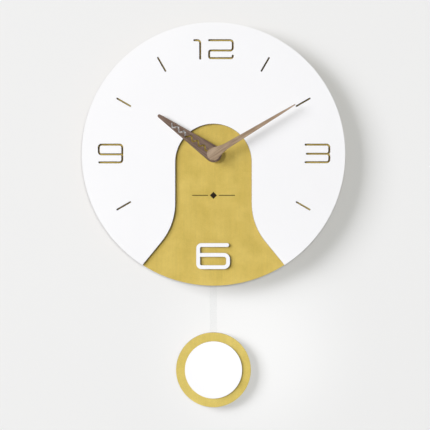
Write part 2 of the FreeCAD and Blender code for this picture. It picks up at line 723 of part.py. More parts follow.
def hour_wheel():
    pitch = pitch_radius(HOUR_WHEEL_TEETH, MOTION_PINION_TEETH, MOTION_DISTANCE)
    phase = facing(HOUR_WHEEL_TEETH, MOTION_DIRECTION)
    rim = gear((0, 0), HOUR_WHEEL_TEETH, pitch, phase, HOUR_WHEEL_BACK, HOUR_WHEEL_FRONT)
    rim = lighten(rim, (0, 0), TUBE_RADIUS + 0.6, pitch - 1.2, HOUR_WHEEL_BACK, HOUR_WHEEL_FRONT)
    tube = disc((0, 0), TUBE_RADIUS, HOUR_WHEEL_BACK, HOUR_TUBE_END)
    bore = disc((0, 0), MINUTE_ARBOR_RADIUS + RUN_GAP, HOUR_WHEEL_BACK - 1, HOUR_TUBE_END + 1)
    return fuse([rim, tube]).cut(bore)


def setting_knob():
    pitch = pitch_radius(MINUTE_PINION_TEETH, MOTION_WHEEL_TEETH, MOTION_DISTANCE)
    leaf_back = MOTION_WHEEL_BACK - 0.2
    leaf_front = HOUR_WHEEL_BACK - 0.3
    leaves = gear(KNOB_AXIS, MINUTE_PINION_TEETH, pitch, MOTION_DIRECTION + 180, leaf_back, leaf_front)
    shaft = disc(KNOB_AXIS, KNOB_SHAFT_RADIUS, KNOB_FRONT - 0.2, leaf_back)
    pivot = disc(KNOB_AXIS, ARBOR_RADIUS, leaf_back, FRONT_PIVOT_END)
    head = disc(KNOB_AXIS, KNOB_RADIUS, KNOB_BACK, KNOB_FRONT)
    grips = []
    for notch in range(18):
        groove = polar(20 * notch, KNOB_RADIUS + 0.4, KNOB_AXIS)
        grips.append(disc(groove, 0.8, KNOB_BACK - 1, KNOB_FRONT + 1))
    dish = cone(KNOB_AXIS, KNOB_RADIUS - 1.4, KNOB_RADIUS - 2.2, KNOB_BACK - 0.1, KNOB_BACK + 0.7)
    grip_bar = block(KNOB_AXIS[0] - 0.8, KNOB_AXIS[0] + 0.8, KNOB_AXIS[1] - 4.0, KNOB_AXIS[1] + 4.0,
                     KNOB_BACK, KNOB_FRONT)
    return fuse([head.cut(fuse(grips + [dish])), grip_bar, shaft, pivot, leaves])


def centre_wheel():
    pitch = pitch_radius(CENTRE_WHEEL_TEETH, THIRD_PINION_TEETH, THIRD_DISTANCE)
    phase = facing(CENTRE_WHEEL_TEETH, THIRD_DIRECTION)
    rim = gear((0, 0), CENTRE_WHEEL_TEETH, pitch, phase, CENTRE_WHEEL_BACK, CENTRE_WHEEL_BACK + WHEEL_THICK)
    rim = lighten(rim, (0, 0), MINUTE_ARBOR_RADIUS + 1.6, pitch - 1.2, CENTRE_WHEEL_BACK,
                  CENTRE_WHEEL_BACK + WHEEL_THICK)
    bore = disc((0, 0), MINUTE_ARBOR_RADIUS + RUN_GAP, CENTRE_WHEEL_BACK - 1, PLATE_BACK)
    return rim.cut(bore)


def third_wheel():
    large = pitch_radius(THIRD_WHEEL_TEETH, SECONDS_PINION_TEETH, THIRD_DISTANCE)
    small = pitch_radius(THIRD_PINION_TEETH, CENTRE_WHEEL_TEETH, THIRD_DISTANCE)
    toward_hub = THIRD_DIRECTION + 180
    phase = facing(THIRD_WHEEL_TEETH, toward_hub)
    rim = wheel(THIRD_AXIS, THIRD_WHEEL_TEETH, large, phase, THIRD_WHEEL_BACK)
    leaves = gear(THIRD_AXIS, THIRD_PINION_TEETH, small, toward_hub,
                  THIRD_WHEEL_BACK + WHEEL_THICK, CENTRE_WHEEL_BACK + WHEEL_THICK + 0.2)
    arbor = disc(THIRD_AXIS, ARBOR_RADIUS, ARBOR_BACK, PLATE_PIVOT_END)
    return fuse([rim, leaves, arbor])


def seconds_wheel():
    large = pitch_radius(SECONDS_WHEEL_TEETH, FIFTH_PINION_TEETH, FIFTH_DISTANCE)
    small = pitch_radius(SECONDS_PINION_TEETH, THIRD_WHEEL_TEETH, THIRD_DISTANCE)
    rim = wheel((0, 0), SECONDS_WHEEL_TEETH, large, facing(SECONDS_WHEEL_TEETH, FIFTH_DIRECTION),
                SECONDS_WHEEL_BACK)
    leaves = gear((0, 0), SECONDS_PINION_TEETH, small, THIRD_DIRECTION,
                  SECONDS_WHEEL_BACK + WHEEL_THICK, THIRD_WHEEL_BACK + WHEEL_THICK + 0.2)
    arbor = disc((0, 0), ARBOR_RADIUS, ARBOR_BACK, SECONDS_ARBOR_END)
    return fuse([rim, leaves, arbor])


def fifth_wheel():
    large = pitch_radius(FIFTH_WHEEL_TEETH, ROTOR_PINION_TEETH, ROTOR_DISTANCE)
    small = pitch_radius(FIFTH_PINION_TEETH, SECONDS_WHEEL_TEETH, FIFTH_DISTANCE)
    rim = wheel(FIFTH_AXIS, FIFTH_WHEEL_TEETH, large, facing(FIFTH_WHEEL_TEETH, ROTOR_DIRECTION),
                FIFTH_WHEEL_BACK)
    leaves = gear(FIFTH_AXIS, FIFTH_PINION_TEETH, small, FIFTH_DIRECTION + 180,
                  FIFTH_WHEEL_BACK + WHEEL_THICK, SECONDS_WHEEL_BACK + WHEEL_THICK + 0.3)
    arbor = disc(FIFTH_AXIS, ARBOR_RADIUS, ARBOR_BACK, PLATE_PIVOT_END)
    return fuse([rim, leaves, arbor])


def rotor_pinion():
    pitch = pitch_radius(ROTOR_PINION_TEETH, FIFTH_WHEEL_TEETH, ROTOR_DISTANCE)
    leaves = pinion(ROTOR_AXIS, ROTOR_PINION_TEETH, pitch, ROTOR_DIRECTION + 180, FIFTH_WHEEL_BACK)
    sleeve = disc(ROTOR_AXIS, 1.2, FIFTH_WHEEL_BACK + WHEEL_THICK + PINION_OVERLAP, MAGNET_BACK)
    arbor = disc(ROTOR_AXIS, ARBOR_RADIUS, ARBOR_BACK, PLATE_PIVOT_END)
    return fuse([leaves, sleeve, arbor])


def rotor_magnet():
    return ring(ROTOR_AXIS, MAGNET_RADIUS, ARBOR_RADIUS, MAGNET_BACK, MAGNET_BACK + MAGNET_HEIGHT)


# ------------------------------------------------------------- stepping motor
def stator():
    left = ROTOR_AXIS[0] - STATOR_LIMB / 2
    upright = ROTOR_AXIS[0] + STATOR_LIMB / 2
    upper = block(left, STATOR_RIGHT, STATOR_TOP_Z - STATOR_LIMB, STATOR_TOP_Z,
                  STATOR_BACK, STATOR_FRONT)
    lower = block(left, STATOR_RIGHT, STATOR_BOTTOM_Z, STATOR_BOTTOM_Z + STATOR_LIMB,
                  STATOR_BACK, STATOR_FRONT)
    link = block(left, upright, STATOR_BOTTOM_Z, STATOR_TOP_Z, STATOR_BACK, STATOR_FRONT)
    pole = disc(ROTOR_AXIS, STATOR_RING, STATOR_BACK, STATOR_FRONT)
    body = fuse([upper, lower, link, pole])
    body = body.cut(disc(ROTOR_AXIS, MAGNET_RADIUS + STATOR_GAP, STATOR_BACK - 1, STATOR_FRONT + 1))
    return body.cut(fuse(core_pins(0.0, STATOR_BACK - 1, STATOR_FRONT + 1)))


def core_ends():
    half = STATOR_LIMB / 2
    return [(COIL_X, STATOR_TOP_Z - half), (COIL_X, STATOR_BOTTOM_Z + half)]


def core_pins(play, back, front):
    return [disc(end, CORE_PIN_RADIUS - play, back, front) for end in core_ends()]


def coil_core():
    top, bottom = core_ends()
    back = STATOR_BACK - LAMINATION
    bar = block(COIL_X - CORE_HALF_WIDTH, COIL_X + CORE_HALF_WIDTH, bottom[1] - 1.8, top[1] + 1.8,
                back, STATOR_BACK)
    return bar.cut(fuse(core_pins(0.0, back - 1, STATOR_BACK + 1)))


def upright_disc(x, depth, radius, low, high):
    return Part.makeCylinder(radius, high - low, FreeCAD.Vector(x, -depth, low), FreeCAD.Vector(0, 0, 1))


def coil_bobbin():
    """Two square cheeks on a square sleeve around the core."""
    window = block(COIL_X - CORE_HALF_WIDTH, COIL_X + CORE_HALF_WIDTH, COIL_BOTTOM_Z - 1, COIL_TOP_Z + 1,
                   COIL_DEPTH - LAMINATION / 2, COIL_DEPTH + LAMINATION / 2)
    tube = block(COIL_X - CORE_HALF_WIDTH - BOBBIN_WALL, COIL_X + CORE_HALF_WIDTH + BOBBIN_WALL,
                 COIL_BOTTOM_Z, COIL_TOP_Z,
                 COIL_DEPTH - LAMINATION / 2 - BOBBIN_WALL, COIL_DEPTH + LAMINATION / 2 + BOBBIN_WALL)
    cheeks = []
    for low in (COIL_BOTTOM_Z, COIL_TOP_Z - FLANGE_THICK):
        cheeks.append(block(COIL_X - COIL_RADIUS, COIL_X + COIL_RADIUS, low, low + FLANGE_THICK,
                            COIL_DEPTH - COIL_RADIUS, COIL_DEPTH + COIL_RADIUS))
    return fuse([tube] + cheeks).cut(window)


def coil_winding():
    low, high = COIL_BOTTOM_Z + FLANGE_THICK, COIL_TOP_Z - FLANGE_THICK
    roll = upright_disc(COIL_X, COIL_DEPTH, COIL_RADIUS - 0.3, low, high)
    tube = block(COIL_X - CORE_HALF_WIDTH - BOBBIN_WALL, COIL_X + CORE_HALF_WIDTH + BOBBIN_WALL,
                 low - 1, high + 1,
                 COIL_DEPTH - LAMINATION / 2 - BOBBIN_WALL, COIL_DEPTH + LAMINATION / 2 + BOBBIN_WALL)
    return roll.cut(tube)


# ------------------------------------------------------------- circuit boards
def board_pegs(board, play, back, front):
    inset = 2.4
    return [disc((board[0] + inset, board[3] - inset), 0.9 - play, back, front),
            disc((board[1] - inset, board[2] + inset), 0.9 - play, back, front)]


def circuit(board):
    body = block(board[0], board[1], board[2], board[3], CIRCUIT_BACK, CIRCUIT_FRONT)
    return body.cut(fuse(board_pegs(board, 0.0, CIRCUIT_BACK - 1, CIRCUIT_FRONT + 1)))


def chip(board):
    """A low round drop of resin over the bare chip."""
    middle = ((board[0] + board[1]) / 2, board[2] + 5.5)
    return cone(middle, 2.4, 3.2, CIRCUIT_BACK - 1.1, CIRCUIT_BACK)


def quartz_crystal():
    low = CLOCK_BOARD[3] - 4.0
    start = FreeCAD.Vector(CLOCK_BOARD[0] + 6.0, -(CIRCUIT_BACK - CRYSTAL_RADIUS), low)
    return Part.makeCylinder(CRYSTAL_RADIUS, CRYSTAL_LENGTH, start, FreeCAD.Vector(1, 0, 0))


# -------------------------------------------------------------- battery and bay
def along_x(x, depth, z, radius, length):
    return Part.makeCylinder(radius, length, FreeCAD.Vector(x, -depth, z), FreeCAD.Vector(1, 0, 0))


def battery():
    can = along_x(CELL_LEFT, CELL_DEPTH, CELL_Z, CELL_RADIUS, CELL_LENGTH - CELL_NUB)
    rims = [edge for edge in can.Edges if edge.Closed]
    can = can.makeFillet(0.6, rims)
    nub_foot = CELL_LEFT + CELL_LENGTH - CELL_NUB - 0.5
    nub = along_x(nub_foot, CELL_DEPTH, CELL_Z, CELL_NUB_RADIUS, CELL_NUB + 0.5)
    return fuse([can, nub])


def positive_contact():
    """A flat plate against the button, with two folded feet against the case wall."""
    left = CELL_LEFT + CELL_LENGTH
    low, high = CELL_Z - CONTACT_HALF_HEIGHT, CELL_Z + CONTACT_HALF_HEIGHT
    back, front = CELL_DEPTH - 5.0, CELL_DEPTH + 5.0
    plate = block(left, left + CONTACT_THICK, low, high, back, front)
    feet = []
    for edge in (back, front - CONTACT_THICK):
        feet.append(block(left, INNER_HALF_WIDTH, low, high, edge, edge + CONTACT_THICK))
    return fuse([plate] + feet)


def negative_contact():
    plate = block(-INNER_HALF_WIDTH, -INNER_HALF_WIDTH + CONTACT_THICK, CELL_Z - CONTACT_HALF_HEIGHT,
                  CELL_Z + CONTACT_HALF_HEIGHT, CELL_DEPTH - 6.0, CELL_DEPTH + 6.0)
    start = -INNER_HALF_WIDTH + CONTACT_THICK
    reach = CELL_LEFT - start - SPRING_WIRE
    path = Part.makeLongHelix(reach / SPRING_TURNS, reach, 4.5, -8.0)
    wire = spring_wire(path)
    wire.rotate(FreeCAD.Vector(0, 0, 0), FreeCAD.Vector(0, 1, 0), 90)
    wire.translate(FreeCAD.Vector(start, -CELL_DEPTH, CELL_Z))
    return fuse([plate, wire])


def spring_wire(path):
    edge = path.Edges[0]
    start = edge.valueAt(edge.FirstParameter)
    heading = edge.tangentAt(edge.FirstParameter)
    section = Part.Wire([Part.makeCircle(SPRING_WIRE, start, heading)])
    return Part.Wire(path.Edges).makePipeShell([section], True, True)


def bay_walls():
    walls = []
    for low in (TRAIN_FLOOR_Z - CASE_WALL, BAY_FLOOR_Z):
        walls.append(block(-INNER_HALF_WIDTH, INNER_HALF_WIDTH, low, low + CASE_WALL,
                           COVER_THICK, CASE_INNER_FRONT))
    return walls


# ------------------------------------------------------------- case and cover
def case_clip_cuts(play):
    cuts = []
    for side in (1, -1):
        inner = INNER_HALF_WIDTH - 1
        left, right = sorted((side * inner, side * (INNER_HALF_WIDTH + CLIP_BARB)))
        for height in CLIP_HEIGHTS:
            half = CLIP_HALF_WIDTH + play
            cuts.append(block(left, right, height - half, height + half,
                              CLIP_FRONT - 1.6 - play, CLIP_FRONT + play))
    return cuts


def front_case():
    shell = soft_block(-CASE_HALF_WIDTH, CASE_HALF_WIDTH, CASE_BOTTOM, CASE_TOP, CASE_CORNER,
                       COVER_THICK, CASE_FRONT)
    shell = bevel_rim(shell, CASE_FRONT, CASE_EDGE)
    hollow = soft_block(-INNER_HALF_WIDTH, INNER_HALF_WIDTH, CASE_BOTTOM + CASE_WALL, CASE_TOP - CASE_WALL,
                        CASE_CORNER - CASE_WALL, COVER_THICK - 1, CASE_INNER_FRONT)
    exit_slot = block(-EXIT_HALF_WIDTH, EXIT_HALF_WIDTH, CASE_BOTTOM - 1, CASE_BOTTOM + CASE_WALL + 1,
                      EXIT_BACK, EXIT_FRONT)
    body = shell.cut(fuse([hollow, exit_slot] + case_clip_cuts(CLIP_PLAY)))
    body = fuse([body] + bay_walls() + case_posts())
    return body.cut(fuse(case_holes()))


def case_posts():
    front = CASE_INNER_FRONT
    posts = [disc(place, POST_RADIUS, PLATE_FRONT, front) for place in PLATE_POSTS]
    for board in (CLOCK_BOARD, DRIVE_BOARD):
        posts += board_pegs(board, -0.6, CIRCUIT_FRONT, front)
        posts += board_pegs(board, 0.0, CIRCUIT_BACK - 0.4, front)
    for end in core_ends():
        posts.append(disc(end, 2.0, STATOR_FRONT, front))
    posts += core_pins(0.0, STATOR_BACK - LAMINATION - 0.4, front)
    posts.append(disc((0, ARM_MAGNET_Z), COIL_POST_RADIUS, DRIVE_COIL_BACK + 0.6, DRIVE_COIL_FRONT))
    posts.append(disc((0, ARM_MAGNET_Z), COIL_POST_RADIUS + 2.0, DRIVE_COIL_FRONT, front))
    posts.append(disc((0, PIVOT_Z), 2.4, front - 3.0, front))
    return posts


def case_holes():
    far = CASE_INNER_FRONT + BLIND_HOLE
    holes = [disc(MOTION_AXIS, ARBOR_RADIUS + RUN_GAP, CASE_INNER_FRONT - 1, far)]
    holes.append(disc(KNOB_AXIS, ARBOR_RADIUS + RUN_GAP, CASE_INNER_FRONT - 1, far))
    holes.append(disc((0, 0), BUSH_RADIUS, CASE_INNER_FRONT - 1, CASE_FRONT + 1))
    holes.append(disc((0, 0), BUSH_COLLAR_RADIUS, CASE_INNER_FRONT - 1, CASE_INNER_FRONT + CASE_WALL / 2))
    holes.append(disc((0, PIVOT_Z), PIVOT_PIN_RADIUS, 12.0, CASE_INNER_FRONT))
    return holes


def train_plate():
    """The plate that carries the front ends of the train and the back ends of the motion work."""
    outline = [(-27.4, 26.0), (20.0, 26.0), (20.0, -20.8), (-11.4, -20.8), (-11.4, -3.6), (-27.4, -3.6)]
    body = polygon(outline, PLATE_BACK, PLATE_FRONT)
    small = ARBOR_RADIUS + RUN_GAP
    back, front = PLATE_BACK - 1, PLATE_FRONT + 1
    holes = [disc((0, 0), MINUTE_ARBOR_RADIUS + RUN_GAP, back, front)]
    holes.append(disc(KNOB_AXIS, KNOB_SHAFT_RADIUS + RUN_GAP, back, front))
    for axis in (MOTION_AXIS, THIRD_AXIS, FIFTH_AXIS, ROTOR_AXIS):
        holes.append(disc(axis, small, back, front))
    return body.cut(fuse(holes))


def rear_cover():
    plate = soft_block(-CASE_HALF_WIDTH, CASE_HALF_WIDTH, CASE_BOTTOM, CASE_TOP, CASE_CORNER,
                       0.0, COVER_THICK)
    plate = bevel_rim(plate, 0.0, CASE_EDGE)
    pad = block(-HANGER_HALF_WIDTH - 1.5, HANGER_HALF_WIDTH + 1.5, HANGER_FOOT_Z - 1.5,
                CASE_TOP - CASE_WALL - 0.2, COVER_THICK, COVER_THICK + HANGER_THICK)
    parts = [plate, pad] + cover_bosses() + cover_clips()
    return fuse(parts).cut(fuse(cover_cuts()))


def cover_bosses():
    bosses = []
    for axis in ((0, 0), THIRD_AXIS, FIFTH_AXIS, ROTOR_AXIS):
        bosses.append(disc(axis, BOSS_RADIUS, COVER_THICK, COVER_BOSS_FRONT))
    bosses.append(disc((0, PIVOT_Z), 2.4, COVER_THICK, COVER_BOSS_FRONT))
    for side in (1, -1):
        bosses.append(disc((side * HANGER_SCREW_X, HANGER_SCREW_Z), SCREW_BOSS_RADIUS, COVER_THICK,
                           SCREW_BOSS_FRONT))
    return bosses


def cover_clips():
    clips = []
    for side in (1, -1):
        left, right = sorted((side * (INNER_HALF_WIDTH - CLIP_THICK), side * INNER_HALF_WIDTH))
        barb_left, barb_right = sorted((side * (INNER_HALF_WIDTH - CLIP_THICK),
                                        side * (INNER_HALF_WIDTH + CLIP_BARB - CLIP_PLAY)))
        for height in CLIP_HEIGHTS:
            low, high = height - CLIP_HALF_WIDTH, height + CLIP_HALF_WIDTH
            clips.append(block(left, right, low, high, COVER_THICK, CLIP_FRONT))
            clips.append(block(barb_left, barb_right, low, high, CLIP_FRONT - 1.6, CLIP_FRONT))
    return clips


def cover_cuts():
    small = ARBOR_RADIUS + RUN_GAP
    cuts = []
    for axis in ((0, 0), THIRD_AXIS, FIFTH_AXIS, ROTOR_AXIS):
        cuts.append(disc(axis, small, COVER_THICK, COVER_BOSS_FRONT + 1))
    cuts.append(disc((0, PIVOT_Z), PIVOT_PIN_RADIUS, COVER_THICK, COVER_BOSS_FRONT + 1))
    cuts.append(disc(KNOB_AXIS, KNOB_RADIUS + 0.5, -1.0, COVER_THICK + 1))
    cuts.append(block(-INNER_HALF_WIDTH + 1.2, INNER_HALF_WIDTH - 1.2, CELL_Z - BAY_HALF, CELL_Z + BAY_HALF,
                      -1.0, COVER_THICK + 1))
    cuts.append(block(-HANGER_HALF_WIDTH, HANGER_HALF_WIDTH, HANGER_FOOT_Z, CASE_TOP + 1,
                      -1.0, HANGER_THICK))
    for side in (1, -1):
        cuts.append(disc((side * HANGER_SCREW_X, HANGER_SCREW_Z), SCREW_RADIUS, -1.0, SCREW_LENGTH))
    return cuts


def hanger():
    foot = block(-HANGER_HALF_WIDTH, HANGER_HALF_WIDTH, HANGER_FOOT_Z, HANGER_HEAD_Z, 0.0, HANGER_THICK)
    head = disc((0, HANGER_HEAD_Z), HANGER_HALF_WIDTH, 0.0, HANGER_THICK)
    round_hole = disc((0, HUB_DROP), HANGER_HOLE_RADIUS, -1.0, HANGER_THICK + 1)
    slot = stroke([(0.0, HUB_DROP), (0.0, HUB_DROP + HANGER_SLOT_RISE)], HANGER_SLOT_WIDTH, -1.0,
                  HANGER_THICK + 1)
    cuts = [round_hole, slot]
    for side in (1, -1):
        cuts.append(cone((side * HANGER_SCREW_X, HANGER_SCREW_Z), SCREW_HEAD_RADIUS, SCREW_RADIUS,
                         0.0, HANGER_THICK - 0.3))
        cuts.append(disc((side * HANGER_SCREW_X, HANGER_SCREW_Z), SCREW_RADIUS, -1.0, HANGER_THICK + 1))
    return fuse([foot, head]).cut(fuse(cuts))


def hanger_screws():
    screws = []
    for side in (1, -1):
        centre = (side * HANGER_SCREW_X, HANGER_SCREW_Z)
        head = cone(centre, SCREW_HEAD_RADIUS, SCREW_RADIUS, 0.0, HANGER_THICK - 0.3)
        shank = disc(centre, SCREW_RADIUS, 0.0, SCREW_LENGTH)
        cross = [block(centre[0] - 1.3, centre[0] + 1.3, centre[1] - 0.25, centre[1] + 0.25, -1.0, 0.7),
                 block(centre[0] - 0.25, centre[0] + 0.25, centre[1] - 1.3, centre[1] + 1.3, -1.0, 0.7)]
        screws.append(fuse([head, shank]).cut(fuse(cross)))
    return Part.makeCompound(screws)


# ------------------------------------------------------------------- pendulum
def pivot_pin():
    return disc((0, PIVOT_Z), PIVOT_PIN_RADIUS, ARBOR_BACK, CASE_INNER_FRONT - PIVOT_PLAY)


def pendulum_arm():
    hub = disc((0, PIVOT_Z), ARM_HUB_RADIUS, ARM_BACK - 1.2, ARM_FRONT + 1.2)
    bar = stroke([(0.0, PIVOT_Z), (0.0, ARM_BOTTOM_Z)], ROD_WIDTH - 2.0, ARM_BACK, ARM_FRONT)
    seat = disc((0, ARM_MAGNET_Z), ARM_MAGNET_RADIUS + 1.6, ARM_BACK, ARM_FRONT)
    hook = disc((0, HOOK_Z), HOOK_RADIUS, ROD_BACK - 0.2 - HOOK_LIP, ARM_BACK)
    lip = block(-HOOK_RADIUS, HOOK_RADIUS, HOOK_Z, HOOK_Z + HOOK_RADIUS + 1.0,
                ROD_BACK - 0.2 - HOOK_LIP, ROD_BACK - 0.2)
    bore = disc((0, PIVOT_Z), PIVOT_PIN_RADIUS + RUN_GAP, 0.0, CASE_FRONT)
    pocket = disc((0, ARM_MAGNET_Z), ARM_MAGNET_RADIUS + GLUE_GAP, 0.0, CASE_FRONT)
    return fuse([hub, bar, seat, hook, lip]).cut(fuse([bore, pocket]))


def pendulum_magnet():
    back = ARM_BACK - (ARM_MAGNET_THICK - ARM_THICK) / 2
    return disc((0, ARM_MAGNET_Z), ARM_MAGNET_RADIUS, back, back + ARM_MAGNET_THICK)


def pendulum_rod():
    top = HOOK_Z + ROD_WIDTH / 2
    low = BOB_Z - ROD_BELOW_CENTRE
    half = ROD_WIDTH / 2
    strip = stroke([(0.0, top - half), (0.0, low + half)], ROD_WIDTH, ROD_BACK, ARM_BACK)
    return strip.cut(disc((0, HOOK_Z), HOOK_RADIUS + HOOK_PLAY, 0.0, ARM_BACK + 1))


def bob_disc():
    return disc((0, BOB_Z), BOB_RADIUS, ARM_BACK, ARM_BACK + BOARD)


def bob_centre():
    back = ARM_BACK + BOARD
    return disc((0, BOB_Z), BOB_CENTRE_RADIUS, back, back + BOB_CENTRE_THICK)


def drive_bobbin():
    centre = (0, ARM_MAGNET_Z)
    tube = disc(centre, COIL_POST_RADIUS + 0.8, DRIVE_COIL_BACK, DRIVE_COIL_FRONT)
    cheeks = [disc(centre, DRIVE_COIL_RADIUS, DRIVE_COIL_BACK, DRIVE_COIL_BACK + FLANGE_THICK),
              disc(centre, DRIVE_COIL_RADIUS, DRIVE_COIL_FRONT - FLANGE_THICK, DRIVE_COIL_FRONT)]
    return fuse([tube] + cheeks).cut(disc(centre, COIL_POST_RADIUS + GLUE_GAP, 0.0, CASE_FRONT))


def drive_winding():
    return ring((0, ARM_MAGNET_Z), DRIVE_COIL_RADIUS - 0.5, COIL_POST_RADIUS + 0.8,
                DRIVE_COIL_BACK + FLANGE_THICK, DRIVE_COIL_FRONT - FLANGE_THICK)


# ------------------------------------------------------------------- assembly
def all_parts():
    face, nine_middle = face_parts()
    return {
        "base_disc": base_disc(),
        "face_layer": face,
        "nine_centre": nine_middle,
        "numeral_six": numeral_six(),
        "hour_hand": hour_hand(),
        "hour_collet": hour_collet(),
        "minute_hand": minute_hand(),
        "minute_collet": minute_collet(),
        "threaded_bush": threaded_bush(),
        "rubber_washer": rubber_washer(),
        "brass_washer": brass_washer(),
        "hex_nut": hex_nut(),
        "front_case": front_case(),
        "rear_cover": rear_cover(),
        "train_plate": train_plate(),
        "hanger": hanger(),
        "hanger_screws": hanger_screws(),
        "minute_arbor": minute_arbor(),
        "motion_wheel": motion_wheel(),
        "hour_wheel": hour_wheel(),
        "setting_knob": setting_knob(),
        "centre_wheel": centre_wheel(),
        "third_wheel": third_wheel(),
        "seconds_wheel": seconds_wheel(),
        "fifth_wheel": fifth_wheel(),
        "rotor_pinion": rotor_pinion(),
        "rotor_magnet": rotor_magnet(),
        "stator": stator(),
        "coil_core": coil_core(),
        "coil_bobbin": coil_bobbin(),
        "coil_winding": coil_winding(),
        "clock_circuit": circuit(CLOCK_BOARD),
        "clock_chip": chip(CLOCK_BOARD),
        "quartz_crystal": quartz_crystal(),
        "drive_circuit": circuit(DRIVE_BOARD),
        "drive_chip": chip(DRIVE_BOARD),
        "drive_bobbin": drive_bobbin(),
        "drive_winding": drive_winding(),
        "battery": battery(),
        "positive_contact": positive_contact(),
        "negative_contact": negative_contact(),
        "pivot_pin": pivot_pin(),
        "pendulum_arm": pendulum_arm(),
        "pendulum_magnet": pendulum_magnet(),
        "pendulum_rod": pendulum_rod(),
        "bob_disc": bob_disc(),
        "bob_centre": bob_centre(),
    }


def place(shape):
    shape.translate(FreeCAD.Vector(0, 0, -HUB_DROP))
    return shape


os.makedirs("parts", exist_ok=True)
for node, shape in all_parts().items():
    place(shape).exportStep(os.path.join("parts", node + ".step"))
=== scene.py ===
import math

import bpy
import numpy as np
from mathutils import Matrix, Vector


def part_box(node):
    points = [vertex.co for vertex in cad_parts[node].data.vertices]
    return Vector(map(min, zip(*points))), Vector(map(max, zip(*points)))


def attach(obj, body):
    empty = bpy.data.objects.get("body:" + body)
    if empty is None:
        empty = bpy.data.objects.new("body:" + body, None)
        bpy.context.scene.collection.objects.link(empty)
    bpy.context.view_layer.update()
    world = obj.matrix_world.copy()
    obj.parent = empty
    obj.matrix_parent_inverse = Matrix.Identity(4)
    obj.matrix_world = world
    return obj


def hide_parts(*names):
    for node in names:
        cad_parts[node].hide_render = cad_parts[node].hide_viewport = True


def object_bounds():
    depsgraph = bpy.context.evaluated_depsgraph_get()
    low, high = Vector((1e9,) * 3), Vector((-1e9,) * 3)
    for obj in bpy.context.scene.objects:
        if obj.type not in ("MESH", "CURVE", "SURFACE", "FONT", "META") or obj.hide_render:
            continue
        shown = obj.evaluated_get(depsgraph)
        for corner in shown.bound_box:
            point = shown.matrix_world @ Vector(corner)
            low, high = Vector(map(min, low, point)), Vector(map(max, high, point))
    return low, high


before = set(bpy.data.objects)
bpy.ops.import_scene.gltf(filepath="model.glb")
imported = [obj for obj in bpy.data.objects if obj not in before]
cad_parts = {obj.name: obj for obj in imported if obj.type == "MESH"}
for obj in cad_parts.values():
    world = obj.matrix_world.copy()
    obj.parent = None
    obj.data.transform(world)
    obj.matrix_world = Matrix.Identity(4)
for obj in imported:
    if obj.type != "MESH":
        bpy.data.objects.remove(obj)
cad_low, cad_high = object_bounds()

MM = 0.001
SQUARE_ON = 0.6                  # a normal's share along an axis that counts as facing it


# ------------------------------------------------------------------ shader writing
class Value:
    """One number socket; arithmetic on it adds the Math nodes."""

    def __init__(self, finish, socket):
        self.finish = finish
        self.socket = socket

    def _math(self, operation, *terms):
        settings = {"operation": operation}
        return self.finish.add("ShaderNodeMath", settings, dict(enumerate(terms)))

    def __add__(self, other):
        return self._math("ADD", self, other)

    def __sub__(self, other):
        return self._math("SUBTRACT", self, other)

    def __rsub__(self, other):
        return self._math("SUBTRACT", other, self)

    def __mul__(self, other):
        return self._math("MULTIPLY", self, other)

    def __gt__(self, other):
        return self._math("GREATER_THAN", self, other)

    def __lt__(self, other):
        return self._math("LESS_THAN", self, other)

    def __abs__(self):
        return self._math("ABSOLUTE", self)

    __radd__ = __add__
    __rmul__ = __mul__

    def lower(self, other):
        return self._math("MINIMUM", self, other)

    def higher(self, other):
        return self._math("MAXIMUM", self, other)

    def sine(self):
        return self._math("SINE", self)

    def root(self):
        return self._math("SQRT", self)

    def held(self):
        """The value kept between 0 and 1."""
        return self.finish.add("ShaderNodeClamp", {}, {"Value": self})


